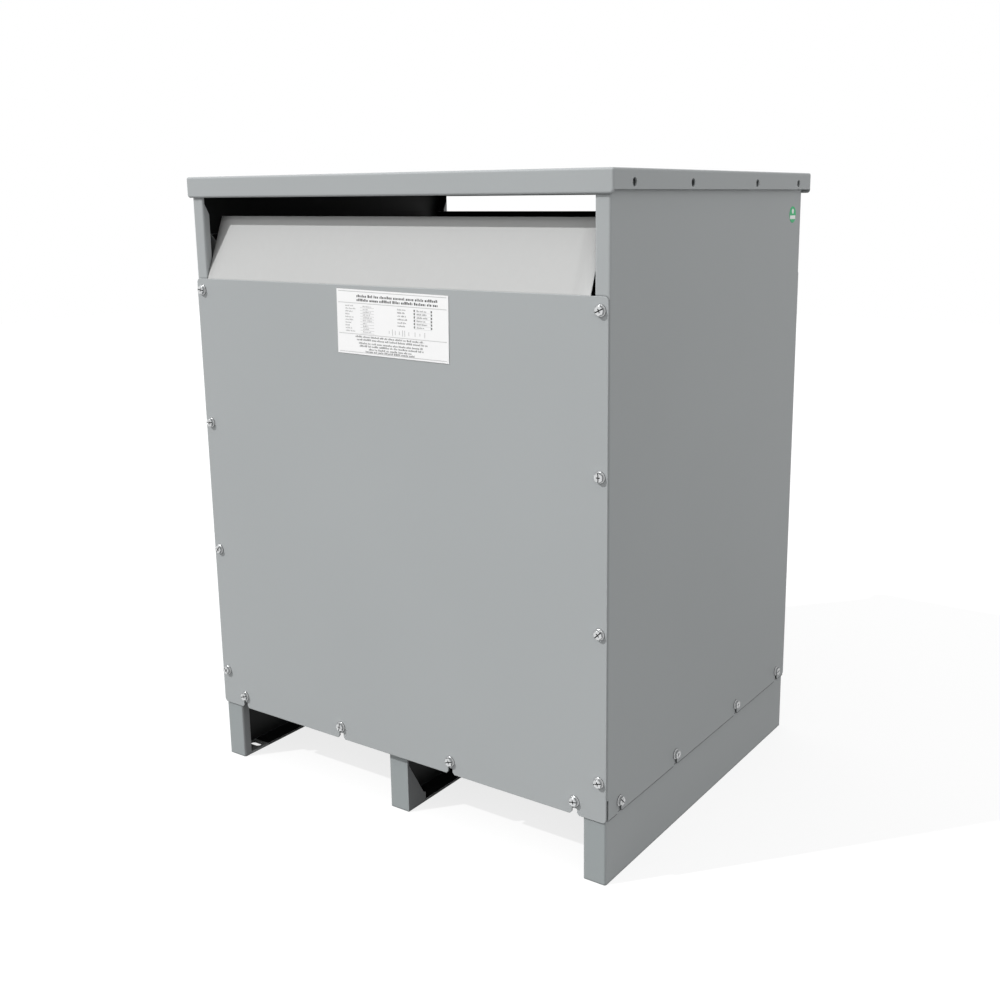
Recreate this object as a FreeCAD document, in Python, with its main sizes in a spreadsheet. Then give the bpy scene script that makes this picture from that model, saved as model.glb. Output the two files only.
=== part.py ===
import FreeCAD, Part
import os
import re
import Sketcher
from FreeCAD import Placement, Rotation, Vector
from math import pi

# Ventilated dry type transformer: a core with three coils on a frame of three floor rails,
# inside a housing of folded and painted sheet steel.
# Millimetres. The origin lies on the floor, midway between the four floor bolt slots.
# +X runs to the right along the front, +Y to the back and +Z up.

doc = FreeCAD.newDocument("dry_type_transformer")
sheet = doc.addObject("Spreadsheet::Sheet", "Sizes")
nodes = []


def full(expression):
    """The expression with every word that holds an underscore pointed at the sheet."""
    return re.sub(r"\b[a-z]+_[a-z_]+\b", lambda word: "Sizes." + word.group(), str(expression))


def value(expression):
    """What an expression of the sheet's words comes to."""
    return float(sheet.evalExpression(full(expression)))


def bind(item, setting, expression):
    """Tie one setting of a document object to the sheet."""
    item.setExpression(setting, full(expression))


# The driving dimensions, in millimetres and degrees.
DIMENSIONS = {
    # Housing, with the sheets and the fold that all its pieces share.
    "body_width": 610,           # across the side panels
    "body_depth": 496.5,         # over the columns, front to back
    "overall_height": 779.9,     # floor to the top of the lid
    "frame_sheet": 3,            # rails, cross members and core supports
    "panel_sheet": 2,            # side panels
    "cover_sheet": 2,            # front and rear covers
    "lid_sheet": 2,              # top cover
    "fold_radius": 2.6,          # outside of a fold
    "seat_gap": 0.5,             # left between parts that drop in beside each other
    "thread_gap": 0.1,           # round a screw in the hole that it cuts
    "hole_gap": 0.4,             # round a screw or bolt in a plain hole
    # Cover screws, all of one size, and the rows they stand in.
    "screw_shank": 6.3,          # across the thread
    "screw_length": 15,          # below the washer
    "screw_washer": 13,          # across the washer that is part of the head
    "screw_washer_depth": 1.1,
    "screw_flats": 9.5,
    "screw_head": 3.4,           # the hexagon above its washer
    "screw_slot": 1.3,           # driver slot, width
    "screw_slot_depth": 1.2,
    "base_screw_drop": 10,       # the row along the base, below the rails' top
    "column_screw_foot": 21,     # the lowest screw on a column, above the rails' top
    "column_screw_head": 14.2,   # the highest, below the cover's top edge
    "column_screw_inset": 10,    # in from the side of the housing
    "end_screw_inset": 41.6,     # outer base screws of a cover, in from the side
    "end_screw_inner": 88,       # inner base screws of a cover, from the middle
    "side_screw_inset": 27.2,    # outer base screws of a side panel, in from its end
    "side_screw_inner": 86,      # inner base screws of a side panel, from the middle
    "slot_gap": 0.35,            # round a base screw in its open slot
    "slot_mouth": 3,             # the slanted corner at the mouth of an open slot
    # Floor rails.
    "rail_height": 103,
    "rail_width": 29.5,
    "rail_return": 11.5,         # the lip that stiffens each foot of an outer rail
    "floor_slot_end": 33.2,      # slot centre, in from the end of the rail
    "floor_slot_length": 20,
    "floor_slot_width": 10,
    "centre_rail_shift": -1.6,   # the middle rail stands a little left of the middle
    "centre_rail_setback": 6.9,  # and its feet stand back behind the covers
    "gusset_height": 66.3,
    "gusset_heel": 29.4,         # where the slant of the gusset ends
    "gusset_reach": 33.5,
    "gusset_toe": 12.6,          # height of the gusset's rear end
    "gusset_heel_height": 14.5,
    # Core supports, and the sizes of the core that they are placed by.
    "support_height": 30,
    "support_width": 60,
    "support_lip": 20,
    "support_end_gap": 3,        # short of the side panels
    "support_bolt": 8,
    "support_bolt_length": 20,
    "support_bolt_flats": 13,
    "support_bolt_head": 5.5,
    "core_shift": 25,            # the core stands back, to leave wiring space in front
    "clamp_sheet": 5,
    "clamp_flange": 45,
    "core_stack": 100,           # depth of the stack of laminations
    "limb_width": 76,            # each limb and each yoke
    # Cross members and the columns over them.
    "cross_drop": 20,            # how far the upright leg hangs below the rails' top
    "cross_seat": 40,            # width of the leg that lies on the rails
    "column_width": 18.3,
    # Side panels.
    "column_lip": 9.3,           # depth of the lip behind a column
    "column_gap": 0.3,           # between a column's foot and the rail
    "seam_drop": 24.7,           # lower edge of the side panels, below the rails' top
    "lip_top_drop": 31,          # top of the lip's slanted end, below the panel's top
    "lip_slant": 13,             # fall of the slanted end across the lip
    "panel_top_flange": 16,
    # Corner stiffeners.
    "stiffener_sheet": 1.5,
    "stiffener_inset": 22,       # in from the end of the housing
    "stiffener_width": 20,
    "stiffener_reach": 10,
    "stiffener_drop": 70.9,      # top of the stiffeners, below the lid's top
    "stiffener_slant": 8,
    # Front and rear covers.
    "cover_edge_gap": 1.05,      # short of each side of the housing
    "cover_drop": 26.4,          # lower edge, below the rails' top
    "vent_height": 125.7,        # from the covers' top edge to the lid's top
    "cover_corner": 5,
    # Baffles.
    "baffle_sheet": 1.5,
    "baffle_rise": 77.4,         # above the cover's top edge
    "baffle_lean": 20.9,         # degrees from upright
    "baffle_skirt": 30,          # flat part behind the cover
    "baffle_fold": 0.8,          # fold line above the cover's top edge
    # Top cover.
    "lid_side_reach": 5.3,       # beyond the side panels
    "lid_front_reach": 3.9,      # beyond the front columns
    "lid_rear_reach": 17.9,      # beyond the rear columns
    "lid_end_lip": 25.5,         # height of the front and rear lips
    "lid_side_lip": 21,
    "lid_corner": 4,             # rounded lower corners of the end lips
    "lid_hole": 9.3,
    "lid_hole_edge": 7.1,        # hole centre, up from the side lip's edge
    "lid_hole_inner": 86.2,      # inner holes, from the middle of the lid
    "lid_hole_end": 42.55,       # outer holes, in from the lid's ends
    # Rubber pads and their bolts.
    "pad_radius": 21,
    "pad_height": 20,
    "pad_spread": 170,           # pads, from the middle
    "pad_bolt": 10,
    "pad_bolt_flats": 17,
    "pad_bolt_head": 6.4,
    "pad_bolt_spare": 12,        # thread below the support's top
    # Coils and core.
    "coil_length": 224,
    "coil_end_gap": 8,           # from each coil's end to the yoke
    "coil_gap": 4,               # insulation between limb and inner winding
    "low_build": 12,             # low voltage winding, inside
    "duct_depth": 8,             # air duct between the windings
    "high_build": 12,            # high voltage winding, outside
    "phase_gap": 6,              # between neighbouring coils
    "yoke_bolt": 12,
    "yoke_bolt_spread": 110,     # outer yoke bolts, from the middle
    # Yoke clamps, tie rods and bolts.
    "tie_rod": 10,
    "tie_rod_gap": 17,           # rod centre, out from the end coil
    "tie_rod_edge": 17,          # rod centre, in from the clamp's end
    "nut_flats": 17,
    "nut_height": 8,
    "rod_spare": 4,              # thread beyond a nut
    "yoke_bolt_flats": 19,
    "yoke_bolt_head": 7.5,
    "yoke_nut_height": 10,
    # Winding mandrel.
    "coil_corner": 6,            # inside corner of the inner winding
    # Duct sticks.
    "stick_width": 8,
    "stick_pitch": 30,
    # Phase barriers.
    "barrier_sheet": 2,
    "barrier_reach": 4,          # beyond the coils, front and back
    # Coil blocks.
    "block_width": 24,
    "block_spread": 40,          # from the middle of its coil
    # Low voltage bars and neutral bar.
    "bar_width": 30,
    "bar_sheet": 6,
    "bar_reach": 50,             # out from the coils' front
    "bar_bend": 7,               # outside radius of the bend
    "bar_drop": 87,              # length of the terminal
    "bar_hole": 11,
    "bar_hole_first": 15,        # lower hole, above the terminal's end
    "bar_hole_pitch": 30,
    "neutral_width": 34,
    "neutral_hole_edge": 11,     # terminal holes, in from the neutral's rear edge
    # Tap boards and links.
    "board_width": 50,
    "board_depth": 5,
    "board_foot": 20,            # above the coil's lower end
    "stud_shank": 6,
    "stud_pitch": 30,
    "stud_edge": 25,             # end studs, in from the board's ends
    "stud_flats": 10,
    "stud_head": 4,
    "link_width": 14,
    "link_sheet": 3,
    # Ground lug.
    "lug_width": 18,
    "lug_depth": 28,
    "lug_height": 22,
    "lug_bore": 11,
    "lug_bore_up": 10,           # bore centre, above the lug's seat
    "lug_side": -210,            # from the middle
    "lug_screw": 8,
    "lug_screw_depth": 11,
    # Data plate and round sticker.
    "plate_width": 165,
    "plate_height": 75,
    "plate_sheet": 0.6,
    "plate_across": 19,          # centre, from the middle
    "plate_drop": 42.9,          # centre, below the cover's top edge
    "plate_tilt": 0.9,           # degrees, right end low
    "sticker_radius": 12.5,
    "sticker_sheet": 0.4,
    "sticker_end_inset": 26.8,   # centre, in from the rear of the housing
    "sticker_drop": 53.4,        # centre, below the lid's top
}
for row, (word, number) in enumerate(DIMENSIONS.items(), 1):
    sheet.set(f"A{row}", word)
    sheet.set(f"B{row}", str(number))
    sheet.setAlias(f"B{row}", word)
doc.recompute()


# A sketch lies across one axis: front looks along Y, side along X and top along Z.
# Each view gives its plane, the way the plane's normal points, and the coordinates that
# run across and up the sketch.
VIEWS = {"front": ("XZ_Plane", -1, 0, 2), "side": ("YZ_Plane", 1, 1, 2), "top": ("XY_Plane", 1, 0, 1)}


def start(name):
    """A new sub-part, which is a body whose label names its file."""
    body = doc.addObject("PartDesign::Body", name)
    body.Label = name
    return body


def keep(item):
    """Count a finished sub-part among the pieces that are written."""
    nodes.append(item)
    return item


def sketch_on(body, view, at=0):
    """An empty sketch on the body's own plane, at a place along the view's axis."""
    role, normal, _, _ = VIEWS[view]
    plane = [item for item in body.Origin.OriginFeatures if item.Role == role][0]
    sketch = body.newObject("Sketcher::SketchObject", f"{body.Name}_{view}")
    sketch.AttachmentSupport = [(plane, "")]
    sketch.MapMode = "FlatFace"
    bind(sketch, "AttachmentOffset.Base.z", f"{normal} * ({at})")
    return sketch


def tie(sketch, measures):
    """Add constraints to a sketch, each given by its arguments and the expression it is tied to."""
    rows = sketch.addConstraint([Sketcher.Constraint(*terms, value(measure)) for terms, measure in measures])
    for row, (_, measure) in zip(rows, measures):
        bind(sketch, f"Constraints[{row}]", measure)


def point(geometry, vertex, across, up):
    """The two measures that tie one point of a sketch."""
    return [(("DistanceX", -1, 1, geometry, vertex), across), (("DistanceY", -1, 1, geometry, vertex), up)]


def outline(sketch, points):
    """A closed outline of straight sides."""
    spots = [Vector(value(across), value(up), 0) for across, up in points]
    following = spots[1:] + spots[:1]
    sides = sketch.addGeometry([Part.LineSegment(*ends) for ends in zip(spots, following)], False)
    sketch.addConstraint([Sketcher.Constraint("Coincident", side, 2, after, 1)
                          for side, after in zip(sides, sides[1:] + sides[:1])])
    tie(sketch, [measure for side, place in zip(sides, points) for measure in point(side, 1, *place)])


def rectangle(sketch, left, right, low, high):
    """A closed rectangle between two places across and two places up."""
    outline(sketch, [(left, low), (right, low), (right, high), (left, high)])


def circle(sketch, across, up, radius):
    """A circle about a tied centre."""
    centre = Vector(value(across), value(up), 0)
    ring = sketch.addGeometry(Part.Circle(centre, Vector(0, 0, 1), value(radius)), False)
    tie(sketch, point(ring, 3, across, up) + [(("Radius", ring), radius)])


def slot(sketch, across, up, length, width):
    """A round-ended slot that runs across the sketch."""
    radius = f"({width}) / 2"
    right = f"{across} + ({length} - {width}) / 2"
    left = f"{across} - ({length} - {width}) / 2"
    reach = Vector(0, value(radius), 0)
    middles = [Vector(value(place), value(up), 0) for place in (right, left)]
    rings = [Part.Circle(middle, Vector(0, 0, 1), value(radius)) for middle in middles]
    cap = sketch.addGeometry(Part.ArcOfCircle(rings[0], -pi / 2, pi / 2), False)
    tail = sketch.addGeometry(Part.ArcOfCircle(rings[1], pi / 2, 3 * pi / 2), False)
    over = sketch.addGeometry(Part.LineSegment(middles[0] + reach, middles[1] + reach), False)
    under = sketch.addGeometry(Part.LineSegment(middles[1] - reach, middles[0] - reach), False)
    sketch.addConstraint([Sketcher.Constraint("Tangent", first, 2, second, 1)
                          for first, second in ((cap, over), (over, tail), (tail, under), (under, cap))])
    sketch.addConstraint(Sketcher.Constraint("Equal", cap, tail))
    tie(sketch, point(cap, 3, right, up) + point(tail, 3, left, up) + [(("Radius", cap), radius)])


def normal_of(sketch):
    """1 where the sketch's normal points up its axis, and -1 where it points down."""
    return [normal for role, normal, _, _ in VIEWS.values()
            if role == sketch.AttachmentSupport[0][0].Role][0]


def pad(sketch, length, toward=1):
    """Grow the sketch's outlines up the view's axis, or down it where toward is -1."""
    feature = sketch.getParentGeoFeatureGroup().newObject("PartDesign::Pad", sketch.Name + "_pad")
    feature.Profile = sketch
    bind(feature, "Length", length)
    feature.Reversed = normal_of(sketch) != toward
    return feature


def pocket(sketch, length, toward=1):
    """Cut the sketch's outlines out of the body, up the view's axis or down it."""
    feature = sketch.getParentGeoFeatureGroup().newObject("PartDesign::Pocket", sketch.Name + "_cut")
    feature.Profile = sketch
    bind(feature, "Length", length)
    feature.Reversed = normal_of(sketch) == toward
    return feature


def soften(body, view, corners, radius):
    """Round the edges that run along the view's axis through the given corners."""
    _, _, across, up = VIEWS[view]
    wanted = [(value(first), value(second)) for first, second in corners]
    names = []
    doc.recompute()
    for number, edge in enumerate(body.Tip.Shape.Edges, 1):
        ends = [vertex.Point for vertex in edge.Vertexes]
        for first, second in wanted:
            if len(ends) == 2 and all(abs(end[across] - first) + abs(end[up] - second) < 0.001
                                      for end in ends):
                names.append(f"Edge{number}")
    base = body.Tip
    feature = body.newObject("PartDesign::Fillet", body.Name + "_folds")
    feature.Base = (base, names)
    bind(feature, "Radius", radius)
    return feature


def hexagon(sketch, flats):
    """A regular hexagon about the sketch's origin, with its size across flats."""
    outline(sketch, [(f"{flats} / sqrt(3) * cos({60 * corner})", f"{flats} / sqrt(3) * sin({60 * corner})")
                     for corner in range(6)])


# The way that a fastener's head faces, as a turn of a fastener that is modelled head up.
FACING = {"up": Rotation(Vector(1, 0, 0), 0), "front": Rotation(Vector(1, 0, 0), 90),
          "back": Rotation(Vector(1, 0, 0), -90), "right": Rotation(Vector(0, 1, 0), 90),
          "left": Rotation(Vector(0, 1, 0), -90)}


def fasteners(name, groups):
    """One node of like fasteners, each a solid of its own.

    A group is a fastener's body, the way its heads face, and the places of its heads' undersides.
    """
    copies = []
    for pattern, facing, places in groups:
        for place in places:
            copy = doc.addObject("App::Link", f"{name}_{len(copies) + 1}")
            copy.LinkedObject = pattern
            copy.LinkPlacement = Placement(Vector(), FACING[facing])
            for axis, distance in zip("xyz", place):
                bind(copy, f".LinkPlacement.Base.{axis}", distance)
            copies.append(copy)
    group = doc.addObject("Part::Compound", name)
    group.Label = name
    group.Links = copies
    return keep(group)


# Housing: the outside sizes, the sheets and the fold that all its pieces share.
HALF = "(body_width / 2)"
INNER_WALL = "(body_width / 2 - panel_sheet)"
END = "(body_depth / 2)"
PANEL_TOP = "(overall_height - lid_sheet)"
COVER_TOP = "(overall_height - vent_height)"
COVER_LOW = "(rail_height - cover_drop)"
SEAM = "(rail_height - seam_drop)"
ENDS = {"front": -1, "rear": 1}
SIDES = {"left": -1, "right": 1}

# Screws: thread-cutting hex washer head screws, all of one size, that hold every cover. Each
# column has four, evenly spaced, and one row runs along the base.
FIRST = "(rail_height + column_screw_foot)"
LAST = f"({COVER_TOP} - column_screw_head)"
COLUMN_SCREWS = [(f"{side} * ({HALF} - column_screw_inset)", f"{FIRST} + {step} / 3 * ({LAST} - {FIRST})")
                 for side in (-1, 1) for step in range(4)]
BASE_ROW = "(rail_height - base_screw_drop)"
SLOT_HALF = "(screw_shank / 2 + slot_gap)"
END_SCREWS = [f"{side} * ({place})" for side in (-1, 1)
              for place in (f"{HALF} - end_screw_inset", "end_screw_inner")]
SIDE_SCREWS = [f"{end} * ({place})" for end in (-1, 1)
               for place in (f"{END} - side_screw_inset", "side_screw_inner")]
PILOT = "(screw_shank / 2 + thread_gap)"
PLAIN = "(screw_shank / 2 + hole_gap)"

screw = start("cover_screw")
sketch = sketch_on(screw, "top")
circle(sketch, 0, 0, "screw_washer / 2")
pad(sketch, "screw_washer_depth")
sketch = sketch_on(screw, "top", "screw_washer_depth")
hexagon(sketch, "screw_flats")
pad(sketch, "screw_head")
sketch = sketch_on(screw, "top")
circle(sketch, 0, 0, "screw_shank / 2")
pad(sketch, "screw_length", -1)
sketch = sketch_on(screw, "top", "screw_washer_depth + screw_head")
rectangle(sketch, "-screw_flats", "screw_flats", "-screw_slot / 2", "screw_slot / 2")
pocket(sketch, "screw_slot_depth", -1)

# Floor rails: folded channels from front to back, open towards the middle, closed by a foot
# at each end. The outer two carry the side panels and are slotted for floor bolts.

# Core supports: hat channels across the rails, which carry the core on rubber pads.
SUPPORT_OFF = "(core_stack / 2 + clamp_flange / 2 + clamp_sheet / 2)"
SUPPORT_BOLTS = [(f"{side} * ({INNER_WALL} - rail_width / 2)",
                  f"core_shift + {end} * ({SUPPORT_OFF} - support_width / 2 - support_lip / 2)")
                 for side in (-1, 1) for end in (-1, 1)]


def outer_rail(name, side):
    """A channel with its web outside, its feet folded round both ends and a lip on each foot."""
    rail = start(name)
    outer = f"{side} * {INNER_WALL}"
    inner = f"{side} * ({INNER_WALL} - rail_width)"
    web = f"{side} * ({INNER_WALL} - frame_sheet)"
    lip = f"{side} * ({INNER_WALL} - rail_width + frame_sheet)"
    sketch = sketch_on(rail, "front", f"-{END}")
    outline(sketch, [(outer, 0), (inner, 0), (inner, "frame_sheet"), (web, "frame_sheet"),
                     (web, "rail_height - frame_sheet"), (inner, "rail_height - frame_sheet"),
                     (inner, "rail_height"), (outer, "rail_height")])
    pad(sketch, "body_depth")
    for end in (-1, 1):
        sketch = sketch_on(rail, "front", f"{end} * {END}")
        rectangle(sketch, inner, outer, 0, "rail_height")
        pad(sketch, "frame_sheet", -end)
        sketch = sketch_on(rail, "front", f"{end} * {END}")
        rectangle(sketch, inner, lip, 0, "rail_height")
        pad(sketch, "rail_return", -end)
    soften(rail, "top", [(place, f"{end} * {END}") for place in (outer, inner) for end in (-1, 1)],
           "fold_radius")
    sketch = sketch_on(rail, "top")
    for end in (-1, 1):
        slot(sketch, f"{side} * ({INNER_WALL} - rail_width / 2)", f"{end} * ({END} - floor_slot_end)",
             "floor_slot_length", "floor_slot_width")
    pocket(sketch, "frame_sheet")
    sketch = sketch_on(rail, "side", outer)
    for place in SIDE_SCREWS:
        circle(sketch, place, BASE_ROW, PILOT)
    pocket(sketch, "frame_sheet", -side)
    sketch = sketch_on(rail, "top", "rail_height")
    for across, place in SUPPORT_BOLTS:
        if across.startswith(f"{side} "):
            circle(sketch, across, place, "support_bolt / 2 + hole_gap")
    pocket(sketch, "frame_sheet", -1)
    return keep(rail)


for name, side in SIDES.items():
    outer_rail(f"rail_{name}", side)

rail = start("rail_centre")
WEB_FACE = "(centre_rail_shift - rail_width / 2)"
OPEN_FACE = "(centre_rail_shift + rail_width / 2)"
CENTRE_END = "(body_depth / 2 - centre_rail_setback)"
sketch = sketch_on(rail, "front", f"-{CENTRE_END}")
outline(sketch, [(WEB_FACE, 0), (OPEN_FACE, 0), (OPEN_FACE, "frame_sheet"),
                 (f"{WEB_FACE} + frame_sheet", "frame_sheet"),
                 (f"{WEB_FACE} + frame_sheet", "rail_height - frame_sheet"),
                 (OPEN_FACE, "rail_height - frame_sheet"), (OPEN_FACE, "rail_height"),
                 (WEB_FACE, "rail_height")])
pad(sketch, f"2 * {CENTRE_END}")
for end in (-1, 1):
    sketch = sketch_on(rail, "front", f"{end} * {CENTRE_END}")
    rectangle(sketch, WEB_FACE, OPEN_FACE, 0, "rail_height")
    pad(sketch, "frame_sheet", -end)
    sketch = sketch_on(rail, "side", OPEN_FACE)
    outline(sketch, [(f"{end} * {CENTRE_END}", 0), (f"{end} * ({CENTRE_END} - gusset_reach)", 0),
                     (f"{end} * ({CENTRE_END} - gusset_reach)", "gusset_toe"),
                     (f"{end} * ({CENTRE_END} - gusset_heel)", "gusset_heel_height"),
                     (f"{end} * {CENTRE_END}", "gusset_height")])
    pad(sketch, "frame_sheet", -1)
soften(rail, "top", [(WEB_FACE, f"{end} * {CENTRE_END}") for end in (-1, 1)], "fold_radius")
keep(rail)

# Cross members: angles over the rails at the front and the back, behind the covers, which
# take the base screws.


def cross_member(name, end):
    """An angle that lies on the rails, its upright leg flush with the rails' feet."""
    beam = start(name)
    reach = f"({HALF} - column_width - seat_gap)"
    between = f"({INNER_WALL} - rail_width - seat_gap)"
    sketch = sketch_on(beam, "top", "rail_height")
    rectangle(sketch, f"-{reach}", reach, f"{end} * {END}", f"{end} * ({END} - cross_seat)")
    pad(sketch, "frame_sheet")
    sketch = sketch_on(beam, "front", f"{end} * {END}")
    rectangle(sketch, f"-{between}", between, "rail_height - cross_drop", "rail_height + frame_sheet")
    pad(sketch, "frame_sheet", -end)
    soften(beam, "side", [(f"{end} * {END}", "rail_height + frame_sheet")], "fold_radius")
    sketch = sketch_on(beam, "front", f"{end} * {END}")
    for place in END_SCREWS:
        circle(sketch, place, BASE_ROW, PILOT)
    pocket(sketch, "frame_sheet", -end)
    return keep(beam)


for name, end in ENDS.items():
    cross_member(f"{name}_cross_member", end)

# Side panels: one sheet each, folded round at both ends into the columns that the covers are
# screwed to, with a stiffening lip on each column and a flange under the lid.


def open_slots(sketch, places, bottom):
    """Slots round the base screws, open at the sheet's lower edge with a slanted mouth."""
    for place in places:
        outline(sketch, [(f"{place} - {SLOT_HALF} - slot_mouth", f"{bottom} - seat_gap"),
                         (f"{place} + {SLOT_HALF} + slot_mouth", f"{bottom} - seat_gap"),
                         (f"{place} + {SLOT_HALF}", f"{bottom} + slot_mouth"),
                         (f"{place} + {SLOT_HALF}", BASE_ROW),
                         (f"{place} - {SLOT_HALF}", BASE_ROW),
                         (f"{place} - {SLOT_HALF}", f"{bottom} + slot_mouth")])


def side_panel(name, side):
    """Wall, two columns with lips, and the top flange."""
    panel = start(name)
    wall = f"{side} * {HALF}"
    inside = f"{side} * {INNER_WALL}"
    edge = f"{side} * ({HALF} - column_width)"
    back = f"{side} * ({HALF} - column_width + panel_sheet)"
    foot = "(rail_height + column_gap)"
    sketch = sketch_on(panel, "top", foot)
    outline(sketch, [(wall, f"-{END}"), (edge, f"-{END}"), (edge, f"-({END} - column_lip)"),
                     (back, f"-({END} - column_lip)"), (back, f"-({END} - panel_sheet)"),
                     (inside, f"-({END} - panel_sheet)"), (inside, f"{END} - panel_sheet"),
                     (back, f"{END} - panel_sheet"), (back, f"{END} - column_lip"),
                     (edge, f"{END} - column_lip"), (edge, END), (wall, END)])
    pad(sketch, f"{PANEL_TOP} - {foot}")
    soften(panel, "top", [(place, f"{end} * {END}") for place in (wall, edge) for end in (-1, 1)],
           "fold_radius")
    soften(panel, "top", [(place, f"{end} * ({END} - panel_sheet)") for place in (inside, back)
                          for end in (-1, 1)], "fold_radius - panel_sheet")
    sketch = sketch_on(panel, "side", wall)
    rectangle(sketch, f"-({END} - fold_radius)", f"{END} - fold_radius", SEAM, f"{foot} + fold_radius")
    pad(sketch, "panel_sheet", -side)
    sketch = sketch_on(panel, "top", PANEL_TOP)
    rectangle(sketch, inside, f"{side} * ({INNER_WALL} - panel_top_flange)",
              f"-({END} - column_lip)", f"{END} - column_lip")
    pad(sketch, "panel_sheet", -1)
    sketch = sketch_on(panel, "side", edge)
    for end in (-1, 1):
        outline(sketch, [(f"{end} * ({END} - fold_radius)", PANEL_TOP),
                         (f"{end} * ({END} - fold_radius)", f"{PANEL_TOP} - lip_top_drop"),
                         (f"{end} * ({END} - column_lip)", f"{PANEL_TOP} - lip_top_drop - lip_slant"),
                         (f"{end} * ({END} - column_lip)", PANEL_TOP)])
    pocket(sketch, "panel_sheet", side)
    sketch = sketch_on(panel, "side", wall)
    open_slots(sketch, SIDE_SCREWS, SEAM)
    pocket(sketch, "panel_sheet", -side)
    sketch = sketch_on(panel, "side", wall)
    for place in SIDE_SCREWS:
        circle(sketch, place, BASE_ROW, SLOT_HALF)
    pocket(sketch, "panel_sheet", -side)
    for end in (-1, 1):
        sketch = sketch_on(panel, "front", f"{end} * {END}")
        for across, up in COLUMN_SCREWS:
            if across.startswith(f"{side} "):
                circle(sketch, across, up, PILOT)
        pocket(sketch, "panel_sheet", -end)
    return keep(panel)


for name, side in SIDES.items():
    side_panel(f"side_panel_{name}", side)

# Corner stiffeners: light angles spot welded inside each corner of the side panels, which
# stand on the rails and end in a slant.


def corner_stiffener(name, side, end):
    """An angle with one leg on the side panel and the other standing in from it."""
    angle = start(name)
    face = f"{end} * ({END} - stiffener_inset)"
    sketch = sketch_on(angle, "top", "rail_height")
    outline(sketch, [(f"{side} * {INNER_WALL}", face),
                     (f"{side} * ({INNER_WALL} - stiffener_reach)", face),
                     (f"{side} * ({INNER_WALL} - stiffener_reach)",
                      f"{end} * ({END} - stiffener_inset - stiffener_sheet)"),
                     (f"{side} * ({INNER_WALL} - stiffener_sheet)",
                      f"{end} * ({END} - stiffener_inset - stiffener_sheet)"),
                     (f"{side} * ({INNER_WALL} - stiffener_sheet)",
                      f"{end} * ({END} - stiffener_inset - stiffener_width)"),
                     (f"{side} * {INNER_WALL}", f"{end} * ({END} - stiffener_inset - stiffener_width)")])
    top = "overall_height - stiffener_drop"
    pad(sketch, f"{top} - rail_height")
    sketch = sketch_on(angle, "front", face)
    outline(sketch, [(f"{side} * ({INNER_WALL} - stiffener_sheet)", top),
                     (f"{side} * ({INNER_WALL} - stiffener_reach)", top),
                     (f"{side} * ({INNER_WALL} - stiffener_reach)", f"{top} - stiffener_slant")])
    pocket(sketch, "stiffener_sheet", -end)
    return keep(angle)


for name, end in ENDS.items():
    for word, side in SIDES.items():
        corner_stiffener(f"{name}_{word}_stiffener", side, end)

# Covers: flat sheets screwed over the columns and the cross members, front and back, with
# the lower row of screws in open slots.


def cover(name, end):
    """A flat cover with rounded corners, round holes down its sides and slots at the bottom."""
    plate = start(name)
    sketch = sketch_on(plate, "front", f"{end} * {END}")
    reach = f"({HALF} - cover_edge_gap)"
    rectangle(sketch, f"-{reach}", reach, COVER_LOW, COVER_TOP)
    pad(sketch, "cover_sheet", end)
    soften(plate, "front", [(f"{side} * {reach}", edge) for side in (-1, 1) for edge in (COVER_LOW, COVER_TOP)],
           "cover_corner")
    sketch = sketch_on(plate, "front", f"{end} * {END}")
    open_slots(sketch, END_SCREWS, COVER_LOW)
    pocket(sketch, "cover_sheet", end)
    sketch = sketch_on(plate, "front", f"{end} * {END}")
    for place in END_SCREWS:
        circle(sketch, place, BASE_ROW, SLOT_HALF)
    for across, up in COLUMN_SCREWS:
        circle(sketch, across, up, PLAIN)
    pocket(sketch, "cover_sheet", end)
    return keep(plate)


for name, end in ENDS.items():
    cover(f"{name}_cover", end)

# Baffles: sheets spot welded behind the covers' top edges, leaning back into the vent
# openings so that rain can't run in.


def baffle(name, end):
    """A flat skirt behind the cover, folded back into the leaning face."""
    leaf = start(name)
    reach = f"({HALF} - column_width - 2 * seat_gap)"
    inside = f"({END} - baffle_sheet)"
    fold = f"({COVER_TOP} + baffle_fold)"
    top = f"({COVER_TOP} + baffle_rise)"
    lean = "(baffle_rise - baffle_fold) * tan(baffle_lean)"
    sketch = sketch_on(leaf, "side", f"-{reach}")
    outline(sketch, [(f"{end} * {END}", f"{COVER_TOP} - baffle_skirt"), (f"{end} * {END}", fold),
                     (f"{end} * ({END} - {lean})", top),
                     (f"{end} * ({END} - {lean} - baffle_sheet * cos(baffle_lean))",
                      f"{top} - baffle_sheet * sin(baffle_lean)"),
                     (f"{end} * {inside}", f"{fold} - baffle_sheet * tan(baffle_lean / 2)"),
                     (f"{end} * {inside}", f"{COVER_TOP} - baffle_skirt")])
    pad(sketch, f"2 * {reach}")
    return keep(leaf)


for name, end in ENDS.items():
    baffle(f"{name}_baffle", end)

# Top cover: a folded pan that stands out over the housing, further at the back, with deeper
# lips at its ends and a row of holes in each side lip.
LID_SIDE = "(body_width / 2 + lid_side_reach)"
LID_FRONT = "(-body_depth / 2 - lid_front_reach)"
LID_REAR = "(body_depth / 2 + lid_rear_reach)"
LID_MIDDLE = "((lid_rear_reach - lid_front_reach) / 2)"

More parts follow.
